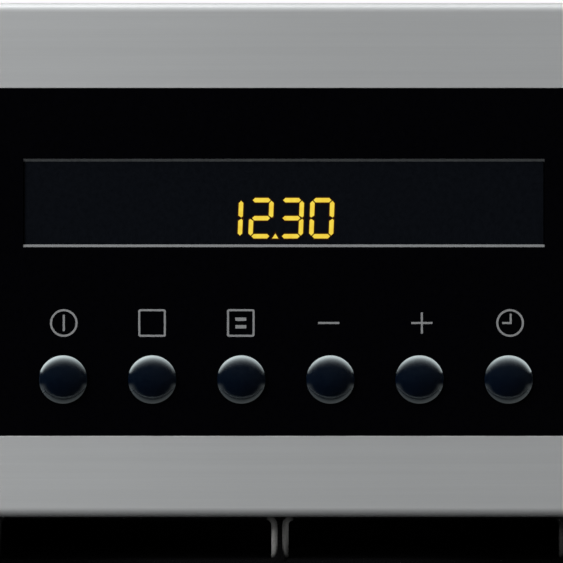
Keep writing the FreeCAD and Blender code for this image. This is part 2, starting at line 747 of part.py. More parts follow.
def front_frame():
    """The enamelled frame round the cavity's mouth. Its ears are screwed to the cabinet's sides."""
    part = body("front_frame")
    through = ("XZ", FRAME, CABINET)
    extrude(part, *through,
            rectangle("-frame_width/2", "frame_width/2", "frame_low", "front_top - fascia_wall"))
    carve(part, *through,
          rounded("-cavity_width/2", "cavity_width/2", "cavity_floor", CEILING, "cavity_corner"))
    carve(part, *through, rectangle(f"grille_rim - {GRILLE_HALF}", f"{GRILLE_HALF} - grille_rim",
                                    SLOT_LOW, SLOT_HIGH))
    carve(part, *through,
          rounded("-insert_width/2", "insert_width/2", f"{FASCIA_LOW} + insert_rise",
                  f"{FASCIA_LOW} + insert_rise + insert_height", "insert_corner"))
    clear = f"({EYE_RADIUS} + hinge_gap)"
    root = "(cavity_width/2 + fixing_edge)"
    for _, sign in SIDES:
        lug_end = f"{sign}*({HINGE_X} + arm_wall/2 + hinge_gap + fixing_edge)"
        lug = sorted((f"{sign}*{root}", lug_end), key=number)
        extrude(part, *through, rectangle(*lug, "frame_low", f"{PIVOT_Z} + {clear} + fixing_edge"))
        edges = sorted(
            (f"{sign}*({HINGE_X} - arm_wall/2 - hinge_gap)", f"{sign}*({HINGE_X} + arm_wall/2 + hinge_gap)"),
            key=number,
        )
        carve(part, *through, rectangle(*edges, f"{PIVOT_Z} - {clear}", f"{PIVOT_Z} + {clear}"))
        ear = sorted((f"{sign}*{root}", f"{sign}*(fixing_span/2 + fixing_edge)"), key=number)
        for height in ("fixing_low", "(fixing_low + fixing_rise)"):
            extrude(part, *through, rounded(*ear, f"{height} - 2*fixing_edge", f"{height} + 2*fixing_edge",
                                            "fixing_edge/2"))
            carve(part, *through, circle(f"{sign}*fixing_span/2", height, "fixing_radius"))


# Cavity and what is fixed in it.

def cavity():
    wrapper = body("cavity_wrapper")
    walls = ("-cavity_width/2 - cavity_wall", "cavity_width/2 + cavity_wall",
             "cavity_floor - cavity_wall", f"{CEILING} + cavity_wall")
    extrude(
        wrapper, "XZ", CABINET, BACK,
        rounded(*walls, "cavity_corner + cavity_wall"),
        rounded("-cavity_width/2", "cavity_width/2", "cavity_floor", CEILING, "cavity_corner"),
    )
    back = body("cavity_back")
    through = ("XZ", BACK, BACK_REAR)
    extrude(back, *through, rounded(*walls, "cavity_corner + cavity_wall"))
    carve(back, *through, circle("0", FAN_Z, "shaft_radius*1.5"))
    carve(back, *through, circle("lamp_offset", LAMP_Z, "lamp_radius - lamp_wall"))
    hole = "element_radius + element_gap"
    for _, sign in SIDES:
        carve(back, *through, circle(f"{sign}*cavity_width/12", GRILL_Z, hole))
        carve(back, *through, circle(f"{sign}*{RING_LEAD_X}", RING_LEAD_Z, hole))


def insulation():
    """Mineral wool round the cavity, with room for the floor heater, and a mat behind it."""
    part = body("insulation")
    inside = "(cavity_width/2 + cavity_wall + wool_gap)"
    low = "(cavity_floor - cavity_wall - 2*element_radius - 2*element_gap - wool_gap)"
    high = f"({CEILING} + cavity_wall + wool_gap)"
    extrude(
        part, "XZ", f"{CABINET} + wool_gap", BACK,
        rounded(f"-{inside} - wool", f"{inside} + wool", f"{low} - wool", f"{high} + wool",
                "cavity_corner + wool"),
        rounded(f"-{inside}", inside, low, high, "cavity_corner"),
    )
    edge = "(cavity_width/2 - wool)"
    mat_near, mat_far = f"({BACK_REAR} + wool_gap)", f"({BACK_REAR} + wool_gap + wool)"
    mat_high = f"({LAMP_Z} - lamp_radius - 2*lamp_wall)"
    extrude(
        part, "XZ", mat_near, mat_far,
        rounded(f"-{edge}", edge, "cavity_floor", mat_high, "cavity_corner"),
        circle("0", FAN_Z, "ring_radius + 2*element_radius"),
    )


def door_gasket():
    """A soft bulb seal on the frame round the cavity's mouth."""
    part = body("door_gasket")
    mouth = ("-cavity_width/2", "cavity_width/2", "cavity_floor", CEILING)

    def loop(out):
        signs = ("-", "+", "-", "+")
        sides = [f"{side} {sign} ({out})" for side, sign in zip(mouth, signs)]
        return rounded(*sides, f"cavity_corner + {out}")

    face = f"({DOOR_BACK} + seal_gap)"
    extrude(part, "XZ", face, FRAME, loop("(seal_inset + seal_width)"), loop("seal_inset"))
    round_edges(part, "seal_round", lambda b: b.YLength < TOLERANCE and near(b.YMin, face))


def grill_element():
    """The meandering heater under the ceiling, with both ends through the cavity's back."""
    level = number(GRILL_Z)
    lead = number("cavity_width/12")
    outer, inner = number("cavity_width*0.37"), number("cavity_width*0.18")
    end = number(f"{BACK_REAR} + element_bend")
    rear = number(f"{BAFFLE_FRONT} - 2*element_bend")
    front = number(f"{CABINET} + 3*element_bend")
    turn = number(f"{CABINET} + cavity_depth*0.6")
    half = [(lead, end), (lead, rear), (outer, rear), (outer, front), (inner, front), (inner, turn)]
    points = [(-x, y) for x, y in half] + half[::-1]
    corners = [Vector(x, y, level) for x, y in points]
    keep(tube("grill_element", bent_path(corners, number("element_bend")), "element_radius"), "grill_element")


def floor_element():
    """The hidden heater close under the cavity's floor."""
    level = number("cavity_floor - cavity_wall - element_gap - element_radius")
    lead, outer = number("cavity_width/12"), number("cavity_width*0.36")
    end = number(f"{BACK_REAR} + element_bend")
    rear = number(f"{BAFFLE_FRONT} - element_bend")
    front = number(f"{CABINET} + 3*element_bend")
    half = [(lead, end), (lead, rear), (outer, rear), (outer, front)]
    points = [(-x, y) for x, y in half] + half[::-1]
    corners = [Vector(x, y, level) for x, y in points]
    keep(tube("floor_element", bent_path(corners, number("element_bend")), "element_radius"), "floor_element")


def ring_element():
    """The heater round the fan: almost a full circle whose two ends turn back through the wall."""
    radius, elbow = number("ring_radius"), number("ring_elbow")
    plane = number(f"{BACK} - fan_stand - fan_depth/2")
    end = number(f"{BACK_REAR} + element_bend")
    centre = Vector(0, plane, number(FAN_Z))
    backwards = Vector(0, 1, 0)
    start_angle = -math.radians(number("ring_end"))

    def at(angle):
        return centre + Vector(math.cos(angle), 0, math.sin(angle)) * radius

    def lead(point, along):
        """A quarter elbow from the circle's tangent to straight back, and the run that follows."""
        middle = point + backwards * elbow
        turned = middle + along * elbow
        slant = (along - backwards).normalize()
        run_end = Vector(turned.x, end, turned.z)
        bend = Part.Arc(point, middle + slant * elbow, turned).toShape()
        return bend, Part.LineSegment(turned, run_end).toShape()

    far_angle = math.pi - start_angle
    first = lead(at(start_angle), Vector(math.sin(start_angle), 0, -math.cos(start_angle)))
    last = lead(at(far_angle), Vector(-math.sin(far_angle), 0, math.cos(far_angle)))
    loop = Part.Arc(at(start_angle), at(math.pi / 2), at(far_angle)).toShape()
    path = Part.Wire(Part.__sortEdges__([first[1], first[0], loop, last[0], last[1]]))
    keep(tube("ring_element", path, "element_radius"), "ring_element")


def fan_baffle():
    """The pressed cover of the fan: a shallow pan with a rose of intake holes and hot-air slots."""
    part = body("fan_baffle", "0", BAFFLE_FRONT, FAN_Z)
    half = "baffle_side/2"
    extrude(part, "XZ", "0", "baffle_depth", rounded(f"-{half}", half, f"-{half}", half, "baffle_corner"))
    inner = f"({half} - cavity_wall)"
    carve(part, "XZ", "cavity_wall", "baffle_depth",
          rounded(f"-{inner}", inner, f"-{inner}", inner, "baffle_corner - cavity_wall"))
    slot = carve(
        part, "XZ", "0", "cavity_wall",
        rounded("hub_radius", "fan_radius*0.72", "-fan_radius/24", "fan_radius/24", "fan_radius/24.1"),
    )
    ring(part, slot, "Y", "blade_count + 2")
    for _, sign in SIDES:
        x = sorted((f"{sign}*{half}", f"{sign}*({half} - cavity_wall)"), key=number)
        low = f"-{half} + 2*baffle_corner"
        vent = carve(part, "YZ", *x, rounded("baffle_depth/4", "baffle_depth*0.75", low,
                                             f"{low} + louvre_height", "louvre_height/2.01"))
        repeat(part, vent, "Z", "3*louvre_pitch", "louvre_count")


def convection_fan():
    """Radial wheel on its shaft, turning about Y."""
    part = body("convection_fan", "0", f"{BACK} - fan_stand", FAN_Z)
    disc = "blade_wall"
    extrude(part, "XZ", f"-{disc}", "0", circle("0", "0", "fan_radius"))
    extrude(part, "XZ", "-fan_depth", f"-{disc}", circle("0", "0", "hub_radius"))
    tip = ("(fan_radius*cos(blade_sweep))", "(fan_radius*sin(blade_sweep))")
    blade = extrude(
        part, "XZ", "-fan_depth", f"-{disc}",
        outline(
            ("blade_root", "0", "blade_bend", 1), tip, (f"{tip[0]} - blade_wall", tip[1], "blade_bend", -1),
            ("blade_root", "blade_wall"),
        ),
    )
    ring(part, blade, "Y", "blade_count")
    reach = "fan_stand + cavity_wall + motor_stand + motor_length/2"
    extrude(part, "XZ", "0", reach, circle("0", "0", "shaft_radius"))


def convection_motor():
    """The motor on a plate that four legs hold off the cavity's back."""
    part = body("convection_motor", "0", BACK_REAR, FAN_Z)
    half = "motor_plate/2"
    leg = f"({half} - post_radius*2)"
    plate = "(motor_stand + carrier_wall)"
    extrude(part, "XZ", "motor_stand", plate, rounded(f"-{half}", half, f"-{half}", half, "post_radius*2"))
    for x in ("-1", "1"):
        for z in ("-1", "1"):
            extrude(part, "XZ", "0", "motor_stand", circle(f"{x}*{leg}", f"{z}*{leg}", "post_radius"))
    extrude(part, "XZ", plate, f"{plate} + motor_length", circle("0", "0", "motor_radius"))
    cap = f"{plate} + motor_length"
    round_edges(part, "2*post_radius", lambda b: b.YLength < TOLERANCE and near(b.YMax, cap))
    carve(part, "XZ", "motor_stand", f"{plate} + motor_length*0.75",
          circle("0", "0", "shaft_radius + run_gap"))


def lamp():
    """Holder behind the cavity's back, bulb, and the round glass lens inside the cavity."""
    seat = ("lamp_offset", BACK, LAMP_Z)
    holder = body("lamp_holder", *seat)
    cup, wall = "lamp_radius", "lamp_wall"
    revolve(
        holder, ("cavity_wall", cup), ("cavity_wall", f"{cup} + {wall}"),
        (f"cavity_wall + {wall}", f"{cup} + {wall}"), (f"cavity_wall + {wall}", cup),
        ("lamp_depth", cup), ("lamp_depth", "0"), (f"lamp_depth - {wall}", "0"),
        (f"lamp_depth - {wall}", f"{cup} - {wall}"), ("cavity_wall", f"{cup} - {wall}"),
    )
    lens = body("lamp_lens", *seat)
    crown = f"((({cup})^2 + (lens_reach - {wall})^2)/(2*(lens_reach - {wall})))"
    inside = f"({cup} - {wall})"
    depth = f"(lens_reach - 2*{wall})"
    hollow = f"(({inside}^2 + {depth}^2)/(2*{depth}))"
    revolve(
        lens, ("0", inside), ("0", f"{cup} + {wall}"), (f"-{wall}", f"{cup} + {wall}"),
        (f"-{wall}", cup, crown, 1), ("-lens_reach", "0"), (f"{wall} - lens_reach", "0", hollow, -1),
        (f"-{wall}", inside),
    )
    bulb = body("lamp_bulb", *seat)
    revolve(
        bulb, (f"{wall} - lens_reach/2", "0", "bulb_radius", -1),
        (f"{wall} - lens_reach/2 + bulb_radius", "bulb_radius"),
        (f"lamp_depth - {wall} - bulb_radius", "bulb_radius"),
        (f"lamp_depth - {wall}", "bulb_radius*0.7"), (f"lamp_depth - {wall}", "0"),
    )


def temperature_probe():
    part = body("temperature_probe", "-lamp_offset", BACK, LAMP_Z)
    revolve(
        part, ("-probe_length", "0", "probe_radius", -1), ("-probe_length + probe_radius", "probe_radius"),
        ("-cavity_wall", "probe_radius"), ("-cavity_wall", "3*probe_radius"), ("0", "3*probe_radius"),
        ("0", "0"),
    )


def shelf_ladder(side, sign):
    """The wire support of one side wall: two posts, a rail and a guard wire on each level, and pegs."""
    front = f"({CABINET} + rail_front)"
    rear = f"({BAFFLE_FRONT} - rail_front)"
    lift = "rail_radius*1.7"
    post_x = f"{sign}*({RAIL_X} + {lift})"
    low = "(cavity_floor + rail_first - rail_guard)"
    span = "((level_count - 1)*rail_pitch + 3*rail_guard)"
    pieces = []
    for name, y in (("front", front), ("rear", rear)):
        pieces.append(rod(f"post_{side}_{name}", "Z", (post_x, y, low), span, "rail_radius"))
        for end, z in (("low", f"{low} + rail_guard/2"), ("high", f"{low} + {span} - rail_guard/2")):
            x = post_x if sign == "1" else "-cavity_width/2"
            reach = f"rail_stand - {lift}"
            pieces.append(rod(f"peg_{side}_{name}_{end}", "X", (x, y, z), reach, "rail_radius*0.8"))
    for level in range(round(number("level_count"))):
        for name, rise in (("rail", "0"), ("guard", "rail_guard")):
            z = f"cavity_floor + rail_first + {level}*rail_pitch + {rise}"
            start = (f"{sign}*{RAIL_X}", f"{front} - rail_radius*2", z)
            length = f"{rear} - {front} + rail_radius*4"
            pieces.append(rod(f"{name}_{side}_{level}", "Y", start, length, "rail_radius"))
    return fuse(f"shelf_ladder_{side}", pieces)


def shelf_ladders():
    keep(group("shelf_ladders", [shelf_ladder(side, sign) for side, sign in SIDES]), "shelf_ladders")


def wire_shelf():
    """A frame wire with cross wires, resting on the rails of its level."""
    level = "(cavity_floor + rail_first + shelf_level*rail_pitch + rail_radius + rest_gap + shelf_wire)"
    z = number(level)
    x = number(f"{SHELF_HALF} - shelf_wire")
    front, rear = number(f"{SHELF_FRONT} + shelf_wire"), number(f"{SHELF_BACK} - shelf_wire")
    corners = [Vector(a * x, b, z) for a, b in ((-1, front), (1, front), (1, rear), (-1, rear))]
    pieces = [tube("shelf_frame", bent_path(corners, number("shelf_corner"), closed=True), "shelf_wire")]
    step = f"(2*({SHELF_HALF} - shelf_corner)/(shelf_bar_count - 1))"
    for i in range(round(number("shelf_bar_count"))):
        start = (f"{i}*{step} - ({SHELF_HALF} - shelf_corner)", f"{SHELF_FRONT} + shelf_wire", level)
        pieces.append(rod(f"shelf_bar_{i}", "Y", start, "shelf_depth - 2*shelf_wire", "shelf_bar"))
    for i in (1, 2):
        y = f"{SHELF_FRONT} + shelf_depth*{i}/3"
        start = (f"shelf_wire - {SHELF_HALF}", y, f"{level} - shelf_bar")
        pieces.append(rod(f"shelf_brace_{i}", "X", start, f"2*{SHELF_HALF} - 2*shelf_wire", "shelf_bar*1.5"))
    keep(fuse("wire_shelf", pieces), "wire_shelf")


def baking_tray():
    """A pressed tray whose rim rests on the rails of its level."""
    rest = "cavity_floor + rail_first + tray_level*rail_pitch + rail_radius + rest_gap"
    part = body("baking_tray", "0", f"({SHELF_FRONT} + {SHELF_BACK})/2", rest)

    def pan(inset):
        x, y = f"({SHELF_HALF} - {inset})", f"(shelf_depth/2 - {inset})"
        return rounded(f"-{x}", x, f"-{y}", y, f"shelf_corner - ({inset})/2")

    extrude(part, "XY", "0", "tray_wall", pan("0"), pan("(tray_rim + tray_wall)"))
    mouth, floor = "tray_rim", "(tray_rim + tray_draft)"
    loft(part, "Additive", sketch(part, "XY", "tray_wall", pan(mouth)),
         sketch(part, "XY", "-tray_depth", pan(floor)))
    loft(part, "Subtractive", sketch(part, "XY", "tray_wall", pan(f"({mouth} + tray_wall)")),
         sketch(part, "XY", "tray_wall - tray_depth", pan(f"({floor} + tray_wall)")))


# Cooling air: floor plate, duct, cross-flow blower and outlet grille.

def air_duct():
    plate = body("duct_plate")
    extrude(plate, "XY", DUCT_FLOOR, DUCT_BASE,
            rectangle(f"-{SIDE_HALF}", SIDE_HALF, f"-{REAR}", f"{REAR} - panel"))
    duct = body("air_duct")
    half, wall = DUCT_HALF, "duct_wall"
    extrude(
        duct, "XZ", CABINET, BLOWER_MOUTH,
        outline(
            (f"-{half}", DUCT_BASE), (f"-{half}", DUCT_HIGH), (half, DUCT_HIGH), (half, DUCT_BASE),
            (f"{half} - {wall}", DUCT_BASE), (f"{half} - {wall}", f"{DUCT_HIGH} - {wall}"),
            (f"{wall} - {half}", f"{DUCT_HIGH} - {wall}"), (f"{wall} - {half}", DUCT_BASE),
        ),
    )


def blower_housing():
    """The scroll round the cross-flow wheel, open at the top behind and towards the duct."""
    part = body("blower_housing")
    outer, wall = f"({BLOWER_HALF} + blower_wall)", "blower_wall"
    across = ("YZ", f"-{outer}", outer)
    inside = ("YZ", f"-{BLOWER_HALF}", BLOWER_HALF)
    room = "(blower_radius + blower_gap)"
    extrude(part, *across, circle("blower_back", BLOWER_Z, f"{room} + {wall}"))
    extrude(part, *across, rectangle(BLOWER_MOUTH, "blower_back", DUCT_BASE, DUCT_HIGH))
    carve(part, *inside, circle("blower_back", BLOWER_Z, room))
    carve(part, *inside, rectangle(f"{BLOWER_MOUTH}", "blower_back", f"{DUCT_BASE} + {wall}",
                                   f"{DUCT_HIGH} - {wall}"))
    carve(part, *inside, rectangle("blower_back", f"blower_back + {room} + 2*{wall}", BLOWER_Z,
                                   f"{BLOWER_Z} + {room} + 2*{wall}"))
    carve(part, *across, circle("blower_back", BLOWER_Z, "shaft_radius + run_gap"))


def blower_wheel():
    """The cross-flow wheel: forward-curved blades through a row of discs, on a shaft along X."""
    part = body("blower_wheel", "0", "blower_back", BLOWER_Z)
    half = "(blower_length/2)"
    disc = extrude(part, "YZ", f"-{half}", f"blade_wall - {half}", circle("0", "0", "blower_radius"))
    root, tip = "blower_radius*0.78", "blower_radius*0.95"
    lead = "(blower_radius - blower_radius*0.78)/2"
    blade = extrude(
        part, "YZ", f"-{half}", half,
        outline(
            (root, "0", "blower_bend", 1), (tip, f"{lead} + blade_wall"),
            (f"{tip} - blade_wall", f"{lead} + blade_wall", "blower_bend - blade_wall", -1),
            (root, "blade_wall"),
        ),
    )
    ring(part, blade, "X", "blower_blades")
    repeat(part, disc, "X", "(blower_length - blade_wall)/(blower_discs - 1)", "blower_discs")
    end = f"({BLOWER_HALF} + blower_wall)"
    extrude(part, "YZ", f"-{end}", f"{end} + blower_motor_length*0.7", circle("0", "0", "shaft_radius"))


def blower_motor():
    """The motor on the blower's end plate, with a foot on the duct plate."""
    part = body("blower_motor", f"{BLOWER_HALF} + blower_wall", "blower_back", BLOWER_Z)
    extrude(part, "YZ", "0", "blower_motor_length", circle("0", "0", "blower_motor_radius"))
    round_edges(part, "post_radius",
                lambda b: b.XLength < TOLERANCE and near(b.XMax, "blower_motor_length"))
    extrude(part, "YZ", "0", "blower_motor_length - 2*post_radius",
            rectangle("-blower_motor_radius/2", "blower_motor_radius/2", f"{DUCT_BASE} - {BLOWER_Z}", "0"))
    carve(part, "YZ", "0", "blower_motor_length*0.8", circle("0", "0", "shaft_radius + run_gap"))


def outlet_grille():
    """The black outlet under the fascia: a box with a row of soft-edged slots in its face."""
    part = body("outlet_grille")
    half = GRILLE_HALF
    extrude(part, "XZ", GRILLE_FRONT, FRAME, rectangle(f"-{half}", half, GRILLE_LOW, GRILLE_HIGH))
    carve(part, "XZ", f"{GRILLE_FRONT} + grille_wall", FRAME,
          rectangle(f"grille_rim - {half}", f"{half} - grille_rim", SLOT_LOW, SLOT_HIGH))
    first = "(slot_count - 1)*slot_pitch/2"
    left, right = f"-{first} - slot_width/2", f"-{first} + slot_width/2"
    bend = f"{SLOT_HIGH} - slot_corner"
    slot = carve(
        part, "XZ", GRILLE_FRONT, f"{GRILLE_FRONT} + grille_wall",
        outline(
            (left, SLOT_LOW), (right, SLOT_LOW), (right, bend, "slot_corner", 1),
            (f"{right} - slot_corner", SLOT_HIGH), (f"{left} + slot_corner", SLOT_HIGH, "slot_corner", 1),
            (left, bend),
        ),
    )
    repeat(part, slot, "X", "slot_pitch", "slot_count")
    low, high = number(SLOT_LOW) - TOLERANCE, number(SLOT_HIGH) + TOLERANCE
    round_edges(
        part, "slot_round",
        lambda b: b.YLength < TOLERANCE and near(b.YMin, GRILLE_FRONT) and low < b.ZMin and b.ZMax < high,
    )


# Control fascia and electronics.

def control_fascia():
    """The folded steel front with its window."""
    part = body("control_fascia")
    wall = "fascia_wall"
    front, high, low = FRONT, "front_top", FASCIA_LOW
    extrude(
        part, "YZ", "-front_width/2", "front_width/2",
        outline(
            (front, low), (front, high), (CABINET, high), (CABINET, f"{high} - {wall}"),
            (f"{front} + {wall}", f"{high} - {wall}"), (f"{front} + {wall}", f"{low} + {wall}"),
            (f"{front} + fascia_lip", f"{low} + {wall}"), (f"{front} + fascia_lip", low),
        ),
    )
    edges = (high, low)
    inner = (f"{high} - {wall}", f"{low} + {wall}")
    round_edges(part, "fascia_bend", lambda b: b.XLength > 1 and near(b.YMax, front)
                and any(near(b.ZMax, z) and near(b.ZMin, z) for z in edges))
    round_edges(part, f"fascia_bend - {wall}", lambda b: b.XLength > 1 and near(b.YMax, f"{front} + {wall}")
                and any(near(b.ZMax, z) and near(b.ZMin, z) for z in inner))
    carve(part, "XZ", front, f"{front} + {wall}", window("fit_gap"))
    reach = number("insert_width/2 + fit_gap") + TOLERANCE
    round_edges(part, "window_edge", lambda b: b.YLength < TOLERANCE and near(b.YMin, front)
                and -reach < b.XMin and b.XMax < reach)


def window(margin):
    """The insert's outline, larger by a margin."""
    half = f"(insert_width/2 + {margin})"
    low = f"{FASCIA_LOW} + insert_rise"
    return rounded(f"-{half}", half, f"{low} - {margin}", f"{low} + insert_height + {margin}",
                   f"insert_corner + {margin}")


def fascia_end_caps():
    part = body("fascia_end_caps")
    gap = "(fascia_wall + fit_gap)"
    near_y, far_y = f"({FRONT} + {gap})", FRAME
    low, high = f"({FASCIA_LOW} + {gap})", f"(front_top - {gap})"
    for _, sign in SIDES:
        x = sorted((f"{sign}*front_width/2", f"{sign}*(front_width/2 - end_cap_wall)"), key=number)
        extrude(
            part, "YZ", *x,
            outline(
                (near_y, f"{low} + fascia_bend"), (f"{near_y} + fascia_bend", low), (far_y, low),
                (far_y, high), (f"{near_y} + fascia_bend", high), (near_y, f"{high} - fascia_bend"),
            ),
        )


def control_insert():
    """The glossy black panel: a face that fills the window and a flange behind the steel."""
    part = body("control_insert")
    extrude(part, "XZ", INSERT_FRONT, INSERT_BACK, window("0"))
    extrude(part, "XZ", INSERT_SEAT, INSERT_BACK, window("insert_flange"))
    carve(part, "XZ", INSERT_FRONT, INSERT_BACK,
          rectangle(*display_span("0"), DISPLAY_LOW, DISPLAY_HIGH))
    hole = carve(part, "XZ", INSERT_FRONT, INSERT_BACK,
                 circle(f"button_centre - {ROW_HALF}", BUTTON_Z, "button_diameter/2 + button_gap"))
    repeat(part, hole, "X", "button_pitch", "button_count")


def display_span(margin):
    half = f"(display_width/2 - {margin})"
    return f"display_centre - {half}", f"display_centre + {half}"


def display():
    """The smoked lens, the bevelled strips above and below it, and the display block behind."""
    lens = body("display_lens")
    extrude(lens, "XZ", LENS_FRONT, INSERT_BACK,
            rectangle(*display_span("fit_gap"), f"{DISPLAY_LOW} + fit_gap", f"{DISPLAY_HIGH} - fit_gap"))
    trim = body("display_trim")
    for edge, inwards in ((DISPLAY_LOW, "+"), (DISPLAY_HIGH, "-")):
        extrude(trim, "YZ", *display_span("0"),
                outline((INSERT_FRONT, edge), (LENS_FRONT, edge),
                        (LENS_FRONT, f"{edge} {inwards} trim_height")))
    module = body("display_module")
    margin = "insert_flange"
    extrude(module, "XZ", INSERT_BACK, BOARD_FRONT,
            rectangle(*display_span(margin), f"{DISPLAY_LOW} + trim_height", f"{DISPLAY_HIGH} - trim_height"))


BUTTONS = ("power", "function", "program", "minus", "plus", "clock")


def button(index, name):
    """A domed key, its collar behind the insert, and its stem. It is modelled at its hole's mouth."""
    x = f"button_centre - {ROW_HALF} + {index}*button_pitch"
    part = body(f"button_{name}", x, INSERT_FRONT, BUTTON_Z)
    radius = "(button_diameter/2)"
    dome = f"(({radius}^2 + button_crown^2)/(2*button_crown))"
    collar = f"({INSERT_BACK} - {INSERT_FRONT} + run_gap)"
    stem_end = f"({SWITCH_FRONT} - {INSERT_FRONT} - button_travel - run_gap)"
    revolve(
        part, ("-button_skirt - button_crown", "0", dome, -1), ("-button_skirt", radius), (collar, radius),
        (collar, f"{radius} + collar_reach"), (f"{collar} + collar_wall", f"{radius} + collar_reach"),
        (f"{collar} + collar_wall", "stem_radius"), (stem_end, "stem_radius"), (stem_end, "0"),
    )


def button_carrier():
    """The frame that guides the stems and holds the board off the insert on four posts."""
    part = body("button_carrier")
    left, right = f"button_centre - {CARRIER_HALF}", f"button_centre + {CARRIER_HALF}"
    low, high = CARRIER_LOW, f"({CARRIER_LOW} + carrier_height)"
    plate = f"({INSERT_BACK} + 2*run_gap + collar_wall + button_travel)"
    extrude(part, "XZ", plate, f"{plate} + carrier_wall", rounded(left, right, low, high, "post_radius"))
    for x in (f"{left} + post_radius", f"{right} - post_radius"):
        for z in (f"{low} + post_radius", f"{high} - post_radius"):
            extrude(part, "XZ", INSERT_BACK, BOARD_FRONT, circle(x, z, "post_radius"))
    hole = carve(part, "XZ", plate, f"{plate} + carrier_wall",
                 circle(f"button_centre - {ROW_HALF}", BUTTON_Z, "stem_radius + button_gap"))
    repeat(part, hole, "X", "button_pitch", "button_count")


def control_board():
    """The circuit board with a soldered switch behind each button."""
    part = body("control_board")
    extrude(part, "XZ", BOARD_FRONT, f"{BOARD_FRONT} + board_wall",
            rectangle(f"button_centre - {CARRIER_HALF}", f"button_centre + {CARRIER_HALF}",
                      CARRIER_LOW, DISPLAY_HIGH))
    side = "switch_side/2"
    first = f"button_centre - {ROW_HALF}"
    switch = extrude(part, "XZ", SWITCH_FRONT, BOARD_FRONT,
                     rectangle(f"{first} - {side}", f"{first} + {side}", f"{BUTTON_Z} - {side}",
                               f"{BUTTON_Z} + {side}"))
    repeat(part, switch, "X", "button_pitch", "button_count")


def power_board():
    """The board with its soldered relays and its pillars, above the air duct."""
    low = f"({DUCT_HIGH} + power_stand)"
    left, right = "-power_offset - power_width/2", "-power_offset + power_width/2"
    front, rear = f"({CABINET} + power_depth/2)", f"({CABINET} + power_depth*1.5)"
    board = body("power_board")
    extrude(board, "XY", low, f"{low} + board_wall", rectangle(left, right, front, rear))
    for x in (f"{left} + 2*post_radius", f"{right} - 2*post_radius"):
        for y in (f"{front} + 2*post_radius", f"{rear} - 2*post_radius"):
            extrude(board, "XY", DUCT_HIGH, low, circle(x, y, "post_radius"))
    top = f"({low} + board_wall)"
    start = f"({left} + relay_width)"
    relay = extrude(board, "XY", top, f"{top} + relay_height",
                    rectangle(start, f"{start} + relay_width", f"{front} + relay_width",
                              f"{front} + 3*relay_width"))
    repeat(board, relay, "X", "relay_width*1.3", "relay_count")


def mains_inlet():
    """The terminal block inside the rear panel, and the bush that the mains lead comes in through."""
    block_part = body("terminal_block")
    inner = f"({REAR} - panel)"
    half = "terminal_width/2"
    low = "(inlet_height + terminal_height)"
    extrude(block_part, "XZ", f"{inner} - terminal_depth", inner,
            rectangle(f"-inlet_offset - {half}", f"-inlet_offset + {half}", low, f"{low} + terminal_height"))
    way = carve(block_part, "XZ", f"{inner} - terminal_depth", f"{inner} - terminal_depth/2",
                circle(f"-inlet_offset - {half} + terminal_width/10", f"{low} + terminal_height/2",
                       "post_radius"))
    repeat(block_part, way, "X", "terminal_width/5", "5")
    bush = body("inlet_bush", "-inlet_offset", REAR, "inlet_height")
    wall, bore = "case_wall", "inlet_radius"
    revolve(
        bush, (f"-panel - inlet_length/2", bore), (f"-panel - inlet_length/2", f"{bore} + {wall} - fit_gap"),
        ("0", f"{bore} + {wall} - fit_gap"), ("0", f"{bore} + 2*{wall}"), (f"{wall}", f"{bore} + 2*{wall}"),
        ("inlet_length/2", f"{bore} + {wall}"), ("inlet_length/2", bore),
    )


# Door, hinges and handle.

def door_panes():
    outer = body("door_outer_glass")
    extrude(outer, "XZ", FRONT, PANE_BACK,
            rounded("-front_width/2", "front_width/2", "door_bottom", DOOR_TOP, "glass_corner"))
    round_edges(outer, "glass_edge", lambda b: b.YLength < TOLERANCE and near(b.YMin, FRONT))
    for _, sign in SIDES:
        carve(outer, "XZ", FRONT, PANE_BACK,
              circle(f"{sign}*handle_span/2", HANDLE_Z, "handle_screw + fit_gap"))
    half = DOOR_RAIL_HALF
    middle = body("door_middle_glass")
    extrude(middle, "XZ", f"{MIDDLE_BACK} - glass_wall", MIDDLE_BACK,
            rectangle(f"-{half}", half, f"{RAIL_LOW} + rail_wall + seat_gap",
                      f"{RAIL_HIGH} - rail_wall - seat_gap"))
    inner = body("door_inner_glass")
    extrude(inner, "XZ", PANE_FRONT, DOOR_BACK,
            rectangle(f"-{half}", half, f"{LEDGE_HIGH} + seat_gap", f"{RAIL_HIGH} - rail_height - seat_gap"))


def door_channels():
    """The folded side channels, open towards the middle, cut back below for the hinges."""
    part = body("door_channels")
    for _, sign in SIDES:
        out, inside = f"{sign}*{CHANNEL_OUT}", f"{sign}*{CHANNEL_IN}"
        web = f"{sign}*({CHANNEL_OUT} - channel_wall)"
        extrude(
            part, "XY", RAIL_LOW, RAIL_HIGH,
            outline(
                (inside, PANE_BACK), (out, PANE_BACK), (out, DOOR_BACK), (inside, DOOR_BACK),
                (inside, f"{DOOR_BACK} - channel_wall"), (web, f"{DOOR_BACK} - channel_wall"),
                (web, CASE_FRONT), (inside, CASE_FRONT),
            ),
        )
    edge = f"({CHANNEL_OUT} + panel)"
    carve(part, "YZ", f"-{edge}", edge,
          rectangle(f"{PIVOT_Y} + {EYE_RADIUS}", f"{DOOR_BACK} + panel", "door_bottom", LEDGE_HIGH))


